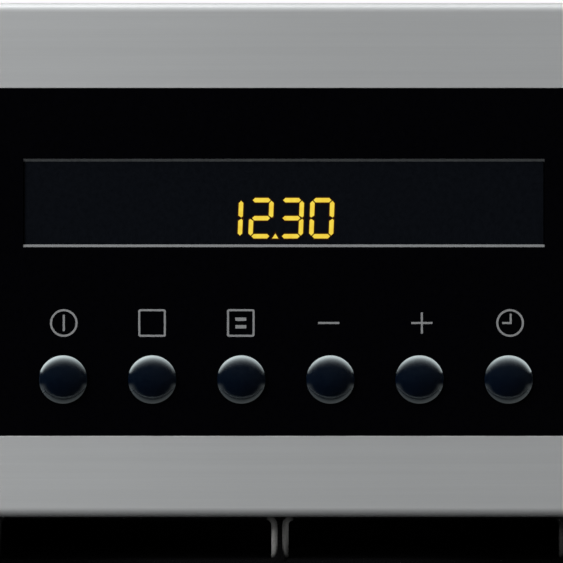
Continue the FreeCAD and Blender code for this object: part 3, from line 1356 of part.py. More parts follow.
def door_rails():
    """The upper rail closes the door; the lower one carries the middle and the inner pane."""
    half, wall = DOOR_RAIL_HALF, "rail_wall"
    across = ("YZ", f"-{half}", half)
    upper = body("door_upper_rail")
    base = f"({RAIL_HIGH} - rail_height)"
    extrude(
        upper, *across,
        outline(
            (PANE_BACK, base), (PANE_BACK, RAIL_HIGH), (DOOR_BACK, RAIL_HIGH), (DOOR_BACK, base),
            (f"{DOOR_BACK} - {wall}", base), (f"{DOOR_BACK} - {wall}", f"{RAIL_HIGH} - {wall}"),
            (f"{PANE_BACK} + {wall}", f"{RAIL_HIGH} - {wall}"), (f"{PANE_BACK} + {wall}", base),
        ),
    )
    first = "(slot_count - 1)*slot_pitch/2"
    middle = f"(({PANE_BACK} + {DOOR_BACK})/2)"
    vent = carve(
        upper, "XY", f"{RAIL_HIGH} - {wall}", RAIL_HIGH,
        rounded(f"-{first} - slot_width/3", f"-{first} + slot_width/3", f"{middle} - slot_height/2",
                f"{middle} + slot_height/2", "slot_corner"),
    )
    repeat(upper, vent, "X", "slot_pitch", "slot_count")
    lower = body("door_lower_rail")
    upright = f"({MIDDLE_BACK} + {wall})"
    extrude(
        lower, *across,
        outline(
            (PANE_BACK, RAIL_LOW), (upright, RAIL_LOW), (upright, LEDGE_LOW), (DOOR_BACK, LEDGE_LOW),
            (DOOR_BACK, LEDGE_HIGH), (MIDDLE_BACK, LEDGE_HIGH), (MIDDLE_BACK, f"{RAIL_LOW} + {wall}"),
            (f"{PANE_BACK} + {wall}", f"{RAIL_LOW} + {wall}"), (f"{PANE_BACK} + {wall}", LEDGE_LOW),
            (PANE_BACK, LEDGE_LOW),
        ),
    )


def hinge_arms():
    """The claw arms that stay on the chassis: an eye round the pin and a bar through the frame."""
    part = body("hinge_arms", "0", PIVOT_Y, PIVOT_Z)
    eye = EYE_RADIUS
    reach = f"({CABINET} - {PIVOT_Y} + arm_reach)"
    slot_near, slot_far = f"({FRAME} - {PIVOT_Y} - hinge_gap)", f"({CABINET} - {PIVOT_Y})"
    notch = f"({eye}/2)"
    half = "(arm_wall/2)"
    boss = "(case_width/2 - case_wall - fit_gap)"
    for _, sign in SIDES:
        x = f"{sign}*{HINGE_X}"
        extrude(
            part, "YZ", f"{x} - {half}", f"{x} + {half}",
            outline(
                ("0", f"-{eye}"), (slot_near, f"-{eye}"), (slot_near, f"-{notch}"), (slot_far, f"-{notch}"),
                (slot_far, f"-{eye}"), (f"{reach} - {eye}", f"-{eye}"), (reach, f"-{notch}"), (reach, eye),
                ("0", eye),
            ),
        )
        extrude(part, "YZ", f"{x} - {boss}", f"{x} + {boss}", circle("0", "0", eye))
        carve(part, "YZ", f"{x} - {boss}", f"{x} + {boss}", circle("0", "0", "pin_radius"))


def hinge_receivers():
    """Channels behind the frame in which the arms rest."""
    part = body("hinge_receivers")
    inside = "(arm_wall/2 + hinge_gap)"
    outside = f"({inside} + case_wall)"
    low = f"({PIVOT_Z} - {EYE_RADIUS})"
    high = f"({PIVOT_Z} + {EYE_RADIUS})"
    for _, sign in SIDES:
        x = f"{sign}*{HINGE_X}"
        extrude(
            part, "XZ", CABINET, f"{CABINET} + arm_reach + case_wall",
            outline(
                (f"{x} - {outside}", f"{low} - case_wall"), (f"{x} + {outside}", f"{low} - case_wall"),
                (f"{x} + {outside}", high), (f"{x} + {inside}", high), (f"{x} + {inside}", low),
                (f"{x} - {inside}", low), (f"{x} - {inside}", high), (f"{x} - {outside}", high),
            ),
        )


def hinge_cases():
    """The steel cases in the door that turn about the pins, closed above to hold the springs' tubes."""
    part = body("hinge_cases", "0", PIVOT_Y, PIVOT_Z)
    half, wall = "(case_width/2)", "case_wall"
    front, back = f"({CASE_FRONT} - {PIVOT_Y})", EYE_RADIUS
    low = f"({RAIL_LOW} + {wall} - {PIVOT_Z})"
    high = f"({low} + case_height)"
    for _, sign in SIDES:
        x = f"{sign}*{HINGE_X}"
        extrude(part, "XY", low, high, rectangle(f"{x} - {half}", f"{x} + {half}", front, back))
        carve(part, "XY", low, f"{high} - {wall}",
              rectangle(f"{x} - {half} + {wall}", f"{x} + {half} - {wall}", f"{front} + {wall}", back))
        carve(part, "YZ", f"{x} - {half}", f"{x} + {half}", circle("0", "0", "pin_radius + run_gap"))


def hinge_pins():
    """Pins held by the arms; the cases turn on their ends."""
    part = body("hinge_pins")
    half = "(case_width/2 + fit_gap)"
    for _, sign in SIDES:
        x = f"{sign}*{HINGE_X}"
        extrude(part, "YZ", f"{x} - {half}", f"{x} + {half}", circle(PIVOT_Y, PIVOT_Z, "pin_radius"))


def hinge_springs():
    """Spring tubes in the cases, whose tips bear on the eyes of the arms and hold the door shut."""
    part = body("hinge_springs")
    foot = f"({PIVOT_Z} + {EYE_RADIUS} + seat_gap)"
    top = f"({RAIL_LOW} + case_height)"
    for _, sign in SIDES:
        x = f"{sign}*{HINGE_X}"
        shoulder = f"({foot} + 2*spring_radius)"
        extrude(part, "XY", foot, shoulder, circle(x, PIVOT_Y, "spring_radius/2"))
        extrude(part, "XY", shoulder, top, circle(x, PIVOT_Y, "spring_radius"))


def handle():
    bar = body("handle_bar", "0", HANDLE_Y, HANDLE_Z)
    half = "(handle_length/2)"
    extrude(bar, "YZ", f"-{half}", half, circle("0", "0", "handle_radius"))
    round_edges(bar, "handle_radius/3", lambda b: b.XLength < TOLERANCE)
    posts = []
    screws = []
    for name, sign in SIDES:
        x = f"{sign}*handle_span/2"
        stem = rod(f"post_stem_{name}", "Y", (x, HANDLE_Y, HANDLE_Z), "handle_stand", "handle_post")
        around = rod(f"post_seat_{name}", "X", (f"{x} - 2*handle_post", HANDLE_Y, HANDLE_Z),
                     "4*handle_post", "handle_radius + run_gap")
        bored = rod(f"post_bore_{name}", "Y", (x, f"{FRONT} - handle_stand/2", HANDLE_Z), "handle_stand/2",
                    "handle_screw")
        posts.append(cut(f"post_{name}", cut(f"post_end_{name}", stem, around), bored))
        shank = rod(f"shank_{name}", "Y", (x, f"{FRONT} - handle_stand/3", HANDLE_Z),
                    "handle_stand/3 + glass_wall", "handle_screw")
        head = rod(f"head_{name}", "Y", (x, PANE_BACK, HANDLE_Z), "glass_wall*0.75", "screw_head")
        screws.append(fuse(f"screw_{name}", [shank, head]))
    keep(group("handle_posts", posts), "handle_posts")
    keep(group("handle_screws", screws), "handle_screws")


def build():
    base_pan()
    rear_panel()
    top_cover()
    front_frame()
    cavity()
    insulation()
    door_gasket()
    grill_element()
    floor_element()
    ring_element()
    fan_baffle()
    convection_fan()
    convection_motor()
    lamp()
    temperature_probe()
    shelf_ladders()
    wire_shelf()
    baking_tray()
    air_duct()
    blower_housing()
    blower_wheel()
    blower_motor()
    outlet_grille()
    control_fascia()
    fascia_end_caps()
    control_insert()
    display()
    for index, name in enumerate(BUTTONS):
        button(index, name)
    button_carrier()
    control_board()
    power_board()
    mains_inlet()
    door_panes()
    door_channels()
    door_rails()
    hinge_arms()
    hinge_cases()
    hinge_receivers()
    hinge_pins()
    hinge_springs()
    handle()
    for side, sign in SIDES:
        side_panel(side, sign)
    doc.recompute()


def check():
    """Stops if anything failed to rebuild or a sub-part isn't made of valid solids."""
    for made in doc.Objects:
        if {"Invalid", "Error"} & set(made.State):
            raise RuntimeError(f"{made.Label} failed: {made.State}")
    for node in nodes:
        shape = node.Shape
        if shape.isNull() or not shape.isValid() or not shape.Solids:
            raise RuntimeError(f"{node.Label} has no valid solid")


def write():
    os.makedirs("parts", exist_ok=True)
    for node in nodes:
        node.Shape.exportStep(f"parts/{node.Label}.step")
    print(f"{len(nodes)} sub-parts written")


build()
check()
write()
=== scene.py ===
import json
import math

import bmesh
import bpy
from mathutils import Matrix, Vector


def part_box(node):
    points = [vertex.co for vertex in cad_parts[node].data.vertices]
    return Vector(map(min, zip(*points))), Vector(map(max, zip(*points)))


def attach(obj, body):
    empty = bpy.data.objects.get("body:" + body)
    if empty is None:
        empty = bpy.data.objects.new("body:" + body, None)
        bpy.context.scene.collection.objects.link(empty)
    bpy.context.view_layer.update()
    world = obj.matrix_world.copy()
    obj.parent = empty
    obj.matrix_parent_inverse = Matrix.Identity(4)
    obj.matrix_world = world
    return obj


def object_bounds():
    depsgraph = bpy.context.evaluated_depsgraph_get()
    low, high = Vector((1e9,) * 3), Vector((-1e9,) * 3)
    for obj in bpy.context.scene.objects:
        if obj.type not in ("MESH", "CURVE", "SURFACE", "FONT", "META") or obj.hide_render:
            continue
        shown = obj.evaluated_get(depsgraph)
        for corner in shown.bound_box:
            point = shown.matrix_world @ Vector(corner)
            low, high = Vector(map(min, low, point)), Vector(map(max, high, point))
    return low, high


# The dressed built-in oven: a finish for every part, the lit digits, the printed signs, the door's
# printed border and the sheet-metal screws. Lengths are in metres unless a name ends in _MM.

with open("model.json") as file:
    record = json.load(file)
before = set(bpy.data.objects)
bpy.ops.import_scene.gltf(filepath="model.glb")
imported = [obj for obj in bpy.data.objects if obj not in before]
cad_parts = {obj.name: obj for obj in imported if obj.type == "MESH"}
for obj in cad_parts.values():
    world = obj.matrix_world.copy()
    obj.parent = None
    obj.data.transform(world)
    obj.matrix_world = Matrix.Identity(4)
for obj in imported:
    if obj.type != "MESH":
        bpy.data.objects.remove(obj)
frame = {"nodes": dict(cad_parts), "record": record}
CAD_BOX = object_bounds()
NODES = frame["nodes"]
MM = 0.001

FASCIA_LOW, FASCIA_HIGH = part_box("control_fascia")
DOOR_LOW, DOOR_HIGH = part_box("door_outer_glass")
INSERT_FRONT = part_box("control_insert")[0].y
LENS_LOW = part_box("display_lens")[0]
GRILLE_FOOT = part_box("outlet_grille")[0].z


# Node graphs

WHITE = (1, 1, 1, 1)


class Graph:
    """A node tree, with short calls that add nodes and join them."""

    def __init__(self, tree):
        self.tree = tree

    def node(self, kind, values=None, **settings):
        """A node with its settings, whose inputs take constants or other nodes' sockets."""
        made = self.tree.nodes.new(f"ShaderNode{kind}")
        for name, value in settings.items():
            setattr(made, name, value)
        for name, value in (values or {}).items():
            if isinstance(value, bpy.types.NodeSocket):
                self.tree.links.new(value, made.inputs[name])
            else:
                made.inputs[name].default_value = value
        return made

    def span(self, value, low, high, from_low=0.0, from_high=1.0):
        """A value from one range carried over to another, smoothly."""
        values = {"Value": value, "From Min": from_low, "From Max": from_high, "To Min": low, "To Max": high}
        return self.node("MapRange", values, interpolation_type="SMOOTHSTEP").outputs["Result"]

    def combine(self, operation, first, second):
        """The sum, product or other result of two values."""
        return self.node("Math", {0: first, 1: second}, operation=operation).outputs["Value"]

    def absolute(self, value):
        """A value without its sign."""
        return self.node("Math", {0: value}, operation="ABSOLUTE").outputs["Value"]

    def axes(self, vector):
        """The X, Y and Z of a vector."""
        return self.node("SeparateXYZ", {"Vector": vector}).outputs

    def mix(self, share, first, second):
        """The first shader, giving way to the second as the share rises to one."""
        return self.node("MixShader", {0: share, 1: first, 2: second}).outputs["Shader"]


class Finish(Graph):
    """A node-based material and its shader."""

    def __init__(self, name, **constants):
        self.material = bpy.data.materials.new(name)
        self.material.use_nodes = True
        super().__init__(self.material.node_tree)
        self.shader = self.tree.nodes["Principled BSDF"]
        for socket, value in constants.items():
            self.shader.inputs[socket.replace("_", " ")].default_value = value

    def set(self, socket, source):
        """Feeds one input of the plain shader."""
        self.tree.links.new(source, self.shader.inputs[socket])

    def surface(self, source):
        """Puts another shader in the place of the plain one."""
        self.tree.links.new(source, self.tree.nodes["Material Output"].inputs["Surface"])

    def place(self, scale=(1, 1, 1)):
        """The part's own coordinates, in metres, stretched by a scale."""
        where = self.node("TexCoord").outputs["Object"]
        return self.node("Mapping", {"Vector": where, "Scale": scale}).outputs["Vector"]

    def noise(self, scale, stretch=(1, 1, 1), detail=2.0, roughness=0.5):
        """Cloudy noise, or streaks along an axis whose stretch is small."""
        values = {"Vector": self.place(stretch), "Scale": scale, "Detail": detail, "Roughness": roughness}
        return self.node("TexNoise", values).outputs["Fac"]

    def cells(self, scale, feature="F1", output="Distance"):
        """A pattern of uneven cells."""
        values = {"Vector": self.place(), "Scale": scale}
        return self.node("TexVoronoi", values, feature=feature).outputs[output]

    def tint(self, value, *stops):
        """A colour from (place, colour) stops."""
        ramp = self.node("ValToRGB", {"Fac": value})
        elements = ramp.color_ramp.elements
        while len(elements) < len(stops):
            elements.new(0.5)
        for element, (place, colour) in zip(elements, stops):
            element.position = place
            element.color = (*colour, 1)
        return ramp.outputs["Color"]

    def scaled(self, colour, factor):
        """A colour times a factor that may differ from place to place."""
        return self.node("VectorMath", {0: colour, "Scale": factor}, operation="SCALE").outputs["Vector"]

    def glow(self, strength):
        """White light of its own."""
        return self.node("Emission", {"Color": WHITE, "Strength": strength}).outputs["Emission"]

    def bump(self, height, strength, depth):
        """Relief that follows a height, with its depth in metres."""
        values = {"Height": height, "Strength": strength, "Distance": depth}
        self.set("Normal", self.node("Bump", values).outputs["Normal"])


def shade(colour, factor):
    """A colour made darker or lighter."""
    return tuple(c * factor for c in colour)


# Materials

# The brushed steel: its streaks along X and their share of its tone, and its painted light, lighter at the
# left and darker to the right, with its start, its end and the factors there.
HAIR_STRETCH = (0.004, 1, 1)
BAND_STRETCH = (0.01, 1, 1)
CLOUD_SCALE = 7
STREAK_RANGE = (0.9, 2.1)
STREAK_SHARE = 0.1
PAINTED_LIGHT_START, PAINTED_LIGHT_END = -0.075, 0.035
PAINTED_LIGHT_LEFT, PAINTED_LIGHT_RIGHT = 1.09, 0.96


def brushed_steel(name, colour, rough, fine, metallic, lit_side, painted_shade_range, darkest):
    """Steel brushed along X: fine streaks, painted light across it, and painted shade away from its lit
    side.
    """
    finish = Finish(name, Metallic=metallic, Anisotropic=0.85, Anisotropic_Rotation=0.25)
    hair = finish.noise(fine, HAIR_STRETCH, detail=3, roughness=0.7)
    band = finish.noise(fine / 9, BAND_STRETCH)
    cloud = finish.noise(CLOUD_SCALE)
    mixed = finish.combine("ADD", finish.combine("ADD", hair, band), cloud)
    streaks = finish.span(mixed, 0, STREAK_SHARE, *STREAK_RANGE)
    # Painted shade: the tone is darker where the surface turns away from its lit side.
    normal = finish.node("TexCoord").outputs["Normal"]
    facing = finish.node("VectorMath", {0: normal, 1: lit_side}, operation="DOT_PRODUCT").outputs["Value"]
    even = 1 - STREAK_SHARE
    bright = finish.combine("ADD", streaks, finish.span(facing, 0, even, *painted_shade_range))
    dark, plain, pale = (shade(colour, factor) for factor in (darkest, 0.96, 1.04))
    tone = finish.tint(bright, (0, dark), (even, plain), (1, pale))
    # Painted light: the tone is scaled from lighter at the left end to darker towards the right.
    along = finish.axes(finish.place())["X"]
    drift = finish.span(along, PAINTED_LIGHT_LEFT, PAINTED_LIGHT_RIGHT, PAINTED_LIGHT_START, PAINTED_LIGHT_END)
    finish.set("Base Color", finish.scaled(tone, drift))
    finish.set("Roughness", finish.span(hair, rough - 0.04, rough + 0.05))
    finish.bump(hair, strength=0.12, depth=0.00002)
    return finish.material


# Painted shade on the steel's lower bend and wherever it faces down.
def stainless_front():
    return brushed_steel("stainless_front", (0.665, 0.682, 0.69), rough=0.36, fine=5200, metallic=0.6,
                         lit_side=(0, 0, 1), painted_shade_range=(-0.6, -0.05), darkest=0.72)


# Painted shade on the side of the bar that faces the door, and partly on its top and underside.
def handle_steel():
    return brushed_steel("handle_steel", (0.52, 0.525, 0.53), rough=0.3, fine=4200, metallic=0.85,
                         lit_side=(0, -1, 0), painted_shade_range=(-0.15, 0.3), darkest=0.16)


def gloss(name, colour, rough, bend=1.5, wave=0.02, sheen=(1, 1, 1)):
    """Polished plastic: a faint haze of fine marks in the gloss, a slow waviness and a tint in its sheen."""
    finish = Finish(name, IOR=bend, Specular_Tint=(*sheen, 1))
    haze = finish.noise(900, detail=4, roughness=0.7)
    finish.set("Base Color", finish.tint(haze, (0.3, shade(colour, 0.8)), (0.7, shade(colour, 1.2))))
    finish.set("Roughness", finish.span(haze, rough * 0.8, rough * 1.3, from_low=0.3, from_high=0.7))
    finish.bump(finish.noise(60), strength=wave, depth=0.00002)
    return finish.material


def gloss_black():
    return gloss("gloss_black", (0.0006, 0.0006, 0.001), rough=0.05)


def button_black():
    return gloss("button_black", (0.0001, 0.0017, 0.0058), rough=0.13, bend=2.95, wave=0.005,
                 sheen=(0.86, 0.98, 1))


def smoked_lens():
    return gloss("smoked_lens", (0.0026, 0.0032, 0.0046), rough=0.06)


def lens_edge():
    return gloss("lens_edge", (0.066, 0.071, 0.074), rough=0.2, bend=1.75)


# Painted highlight on the grille's ribs: heights above its foot, distances from its middle and the share
# left aside, and stops that pair a strength of the highlight with a share of the pale tone.
PAINTED_SHEEN_START = 0.0015
PAINTED_SHEEN_FULL = 0.0095
PAINTED_SHEEN_NEAR = 0.02
PAINTED_SHEEN_FAR = 0.05
PAINTED_SHEEN_ASIDE = 0.12
PAINTED_SHEEN_NONE = 0.02
PAINTED_SHEEN_STOPS = ((0.08, 0.11), (0.41, 0.22), (0.8, 0.43), (1, 1))


def grille_black():
    """Satin black plastic with a pale painted highlight on the ribs' flanks, most of all high up and near
    the middle.
    """
    finish = Finish("grille_black")
    grain = finish.noise(2400)
    flank = finish.absolute(finish.axes(finish.node("NewGeometry").outputs["Normal"])["X"])
    where = finish.axes(finish.place())
    high_up = finish.span(where["Z"], 0, 1, GRILLE_FOOT + PAINTED_SHEEN_START, GRILLE_FOOT + PAINTED_SHEEN_FULL)
    central = finish.span(finish.absolute(where["X"]), 1, PAINTED_SHEEN_ASIDE, PAINTED_SHEEN_NEAR, PAINTED_SHEEN_FAR)
    black, pale = (0.002, 0.002, 0.0022), (0.95, 0.95, 0.93)
    stops = [(place, shade(pale, share)) for place, share in PAINTED_SHEEN_STOPS]
    # Painted highlight: the pale colour on the flanks stands in for light caught by the ribs' rounded edges.
    sheen = finish.tint(finish.combine("MULTIPLY", flank, high_up), (PAINTED_SHEEN_NONE, black), *stops)
    finish.set("Base Color", finish.scaled(sheen, central))
    finish.set("Roughness", finish.span(grain, 0.24, 0.32))
    return finish.material


def galvanised():
    """Zinc-coated sheet: crystal spangle and rolling marks."""
    finish = Finish("galvanised", Metallic=0.55)
    spangle = finish.cells(210, output="Color")
    grain = finish.node("SeparateColor", {"Color": spangle}).outputs["Red"]
    rolled = finish.noise(800, (1, 0.02, 0.02))
    mixed = finish.combine("ADD", finish.span(grain, 0, 0.8), finish.span(rolled, 0, 0.4))
    darkest, bright = (0.51, 0.52, 0.53), (0.58, 0.59, 0.60)
    finish.set("Base Color", finish.tint(mixed, (0, darkest), (1, bright)))
    finish.set("Roughness", finish.span(grain, 0.38, 0.48))
    finish.bump(rolled, strength=0.06, depth=0.00003)
    return finish.material


def enamel(name, colour, fleck, rough, amount):
    """Vitreous enamel: glossy, slightly wavy, with fine pale flecks where amount is above nought."""
    finish = Finish(name)
    wave = finish.noise(140)
    speck = finish.noise(1700, detail=1)
    flecked = finish.span(speck, 0, 1, from_low=0.78 - amount, from_high=0.82 - amount)
    finish.set("Base Color", finish.tint(flecked, (0, colour), (1, fleck)))
    finish.set("Roughness", finish.span(wave, rough, rough + 0.12))
    finish.bump(wave, strength=0.1, depth=0.0001)
    return finish.material


def black_enamel():
    return enamel("black_enamel", (0.008, 0.008, 0.009), fleck=(0.02, 0.02, 0.022), rough=0.18, amount=0)


def cavity_enamel():
    return enamel("cavity_enamel", (0.085, 0.094, 0.112), fleck=(0.36, 0.38, 0.42), rough=0.22, amount=0.12)


def metal(name, colour, rough, scale, metallic=1.0):
    """Plain metal with soft stains in colour and gloss."""
    finish = Finish(name, Metallic=metallic)
    stain = finish.noise(scale, detail=4, roughness=0.6)
    finish.set("Base Color", finish.tint(stain, (0.25, shade(colour, 0.88)), (0.75, shade(colour, 1.12))))
    finish.set("Roughness", finish.span(stain, rough * 0.8, rough * 1.25, from_low=0.25, from_high=0.75))
    finish.bump(finish.noise(scale * 18), strength=0.04, depth=0.00003)
    return finish.material


def wire_chrome():
    return metal("wire_chrome", (0.70, 0.70, 0.71), rough=0.16, scale=60)


def bare_steel():
    return metal("bare_steel", (0.52, 0.52, 0.50), rough=0.36, scale=90)


def motor_steel():
    return metal("motor_steel", (0.44, 0.43, 0.39), rough=0.42, scale=70, metallic=0.8)


def fan_metal():
    return metal("fan_metal", (0.58, 0.58, 0.59), rough=0.38, scale=55)


def zinc_screw():
    return metal("zinc_screw", (0.60, 0.60, 0.57), rough=0.3, scale=400)


def heater():
    """Heat-tinted tube: dark oxide with brown and blue zones."""
    finish = Finish("heater", Metallic=0.8, Roughness=0.42)
    zone = finish.noise(30, detail=3)
    brown, oxide, blue = (0.10, 0.085, 0.075), (0.16, 0.15, 0.14), (0.11, 0.115, 0.14)
    finish.set("Base Color", finish.tint(zone, (0.25, brown), (0.5, oxide), (0.75, blue)))
    finish.bump(finish.noise(2500), strength=0.15, depth=0.00005)
    return finish.material


def wool():
    """Mineral wool: matted fibres in pale yellow and brown."""
    finish = Finish("wool", Roughness=1.0, Sheen_Weight=0.3)
    fibre = finish.noise(420, (1, 0.15, 1), detail=6, roughness=0.75)
    brown, yellow = (0.42, 0.35, 0.22), (0.80, 0.74, 0.58)
    finish.set("Base Color", finish.tint(fibre, (0.2, brown), (0.8, yellow)))
    finish.bump(fibre, strength=0.9, depth=0.002)
    return finish.material


def seal():
    """Braided silicone seal: fine crossed ribs, with painted shade in the grooves between them."""
    finish = Finish("seal", Roughness=0.7, Sheen_Weight=0.15)
    values = {"Vector": finish.place(), "Scale": 260.0, "Distortion": 1.5}
    weave = finish.node("TexWave", values, bands_direction="DIAGONAL").outputs["Fac"]
    # Painted shade: the weave is darker in its grooves than on its ribs.
    painted_groove_shade, rib = (0.018, 0.018, 0.019), (0.05, 0.05, 0.052)
    finish.set("Base Color", finish.tint(weave, (0, painted_groove_shade), (1, rib)))
    finish.bump(weave, strength=0.5, depth=0.0005)
    return finish.material


def glass(name, colour):
    """Clear or tinted glass with a faint smear in its gloss."""
    finish = Finish(name, Transmission_Weight=1.0, IOR=1.48)
    smear = finish.noise(14, detail=3)
    finish.set("Base Color", finish.tint(smear, (0, shade(colour, 0.97)), (1, colour)))
    finish.set("Roughness", finish.span(smear, 0, 0.015, from_low=0.45, from_high=0.8))
    return finish.material


def door_glass():
    return glass("door_glass", (0.52, 0.54, 0.56))


def clear_glass():
    return glass("clear_glass", (0.93, 0.97, 0.95))


def moulded(name, colour, rough):
    """Moulded or painted surface with a fine grain and slight colour drift."""
    finish = Finish(name)
    pit = finish.noise(2600)
    drift = finish.noise(16)
    finish.set("Base Color", finish.tint(drift, (0.2, shade(colour, 0.85)), (0.8, shade(colour, 1.15))))
    finish.set("Roughness", finish.span(pit, rough - 0.08, rough + 0.1))
    finish.bump(pit, strength=0.2, depth=0.00006)
    return finish.material


def door_sheet():
    return moulded("door_sheet", (0.014, 0.014, 0.015), rough=0.42)


def door_plastic():
    return moulded("door_plastic", (0.016, 0.016, 0.017), rough=0.5)


def black_plastic():
    return moulded("black_plastic", (0.018, 0.018, 0.019), rough=0.48)


def inner_plastic():
    return moulded("inner_plastic", (0.22, 0.22, 0.23), rough=0.5)


def circuit_board():
    """Green solder mask over a net of copper tracks."""
    finish = Finish("circuit_board", Roughness=0.35)
    mask, copper = (0.008, 0.07, 0.03), (0.03, 0.17, 0.07)
    track = finish.span(finish.cells(150, "DISTANCE_TO_EDGE"), 1, 0, from_low=0.05, from_high=0.09)
    finish.set("Base Color", finish.tint(track, (0, mask), (1, copper)))
    finish.bump(track, strength=0.3, depth=0.0001)
    return finish.material


def ink(name, dark, pale, rough, scale):
    """Screen print, which is slightly mottled."""
    finish = Finish(name, Roughness=rough)
    finish.set("Base Color", finish.tint(finish.noise(scale), (0.3, dark), (0.7, pale)))
    return finish.material


def printed_grey():
    return ink("printed_grey", dark=(0.172, 0.176, 0.18), pale=(0.206, 0.21, 0.215), rough=0.55, scale=2200)


def printed_black():
    return ink("printed_black", dark=(0.003, 0.003, 0.0035), pale=(0.006, 0.006, 0.0065), rough=0.4,
               scale=900)


def lit(name, dim, bright):
    """A glowing surface, brighter in patches as its light guide is."""
    finish = Finish(name, Roughness=0.4, Base_Color=(*shade(dim, 0.05), 1), Emission_Strength=1.0)
    finish.set("Emission Color", finish.tint(finish.noise(700), (0.3, dim), (0.7, bright)))
    return finish.material


def lit_amber():
    return lit("lit_amber", dim=(0.82, 0.56, 0.045), bright=(0.9, 0.70, 0.075))


def lit_halo():
    return lit("lit_halo", dim=(0.022, 0.005, 0.001), bright=(0.034, 0.009, 0.002))


FINISHES = {
    finish.__name__: finish
    for finish in (
        stainless_front, handle_steel, gloss_black, button_black, grille_black, smoked_lens, lens_edge,
        galvanised, black_enamel, cavity_enamel, wire_chrome, heater, bare_steel, motor_steel, fan_metal,
        wool, seal, door_glass, clear_glass, door_sheet, door_plastic, black_plastic, inner_plastic,
        circuit_board,
    )
}


def dress_parts():
    """Gives every part the finish of its material slot."""
    made = {slot: finish() for slot, finish in FINISHES.items()}
    for row in frame["record"]["subparts"]:
        part = NODES[row["node"]]
        material = made[row["material_slot"]]
        if not part.material_slots:
            part.data.materials.append(material)
        for slot in part.material_slots:
            slot.material = material


# Pieces

def new_object(name, mesh, material):
    """An object in the scene, from a bmesh that it uses up."""
    mesh.normal_update()
    data = bpy.data.meshes.new(name)
    mesh.to_mesh(data)
    mesh.free()
    data.materials.append(material)
    made = bpy.data.objects.new(name, data)
    bpy.context.scene.collection.objects.link(made)
    return made


def new_piece(name, mesh, material, body):
    """A piece that rides on a body."""
    made = new_object(name, mesh, material)
    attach(made, body)


def prism(mesh, outer, front, back, inner=None):
    """A flat plate between two planes across Y, from a loop of (x, z) points and a like one for its hole."""
    loops = [outer] if inner is None else [outer, inner]
    near = [[mesh.verts.new((x, front, z)) for x, z in loop] for loop in loops]
    far = [[mesh.verts.new((x, back, z)) for x, z in loop] for loop in loops]
    count = len(outer)
    if inner is None:
        mesh.faces.new(near[0])
        mesh.faces.new(far[0][::-1])
    for i in range(count):
        j = (i + 1) % count
        mesh.faces.new((near[0][j], near[0][i], far[0][i], far[0][j]))
        if inner is not None:
            mesh.faces.new((near[1][i], near[1][j], far[1][j], far[1][i]))
            mesh.faces.new((near[0][i], near[0][j], near[1][j], near[1][i]))
            mesh.faces.new((far[0][j], far[0][i], far[1][i], far[1][j]))


def circle_loop(radius, count=64):
    """A circle about the middle."""
    angles = [2 * math.pi * i / count for i in range(count)]
    return [(radius * math.cos(a), radius * math.sin(a)) for a in angles]


def box_loop(x, z, half_x, half_z, corner, steps=6):
    """A rectangle with round corners."""
    points = []
    for i, (sx, sz) in enumerate(((1, 1), (-1, 1), (-1, -1), (1, -1))):
        for step in range(steps + 1):
            angle = math.pi / 2 * (i + step / steps)
            points.append((x + sx * (half_x - corner) + corner * math.cos(angle),
                           z + sz * (half_z - corner) + corner * math.sin(angle)))
    return points


# Display: four seven-segment figures that show a time of day, leaning slightly to the right.
FIGURES = ("1", "2", "3", "0")
SEGMENTS = {"0": "abcdef", "1": "bc", "2": "abged", "3": "abgcd"}
FIGURE_X_MM = -10.42
FIGURE_PITCH_MM = 6.43
FIGURE_Z_MM = 5.91
FIGURE_HALF_WIDTH_MM = 2.09
FIGURE_HALF_HEIGHT_MM = 3.82
FIGURE_LEAN = math.tan(math.radians(2.1))
SEGMENT_LENGTH_MM = 3.79
SEGMENT_WIDTH_MM = 0.94
TIP_GAP_MM = 0.14
OUTER_GAP_MM = 0.14
INNER_GAP_MM = 0.56
OUTER_CUT_MM = 0.28
POINT_X_MM = -0.84
POINT_WIDTH_MM = 1.33
POINT_HEIGHT_MM = 1.05
FIGURE_DEPTH = 0.00005
HALO_DEPTH = 0.00002
HALO_MM = 0.24


def segment_loop(letter, grow):
    """One segment about the figure's middle, in millimetres: a bar, or an upright with a slanting end."""
    high = FIGURE_HALF_HEIGHT_MM
    side = SEGMENT_WIDTH_MM / 2 + grow
    if letter in "agd":
        tip = SEGMENT_LENGTH_MM / 2 + grow
        z = {"a": high, "g": 0, "d": -high}[letter]
        bar_shape = [(-tip, 0), (side - tip, -side), (tip - side, -side), (tip, 0), (tip - side, side),
                     (side - tip, side)]
        return [(u, z + v) for u, v in bar_shape]
    top = high - TIP_GAP_MM + grow
    outer = OUTER_GAP_MM - grow
    upright = [(side - OUTER_CUT_MM, outer), (side, outer + OUTER_CUT_MM), (side, top - side), (0, top),
               (-side, top - side), (-side, INNER_GAP_MM - grow)]
    across = 1 if letter in "bc" else -1
    upwards = 1 if letter in "bf" else -1
    loop = [(across * (FIGURE_HALF_WIDTH_MM + u), upwards * v) for u, v in upright]
    return loop if across == upwards else loop[::-1]


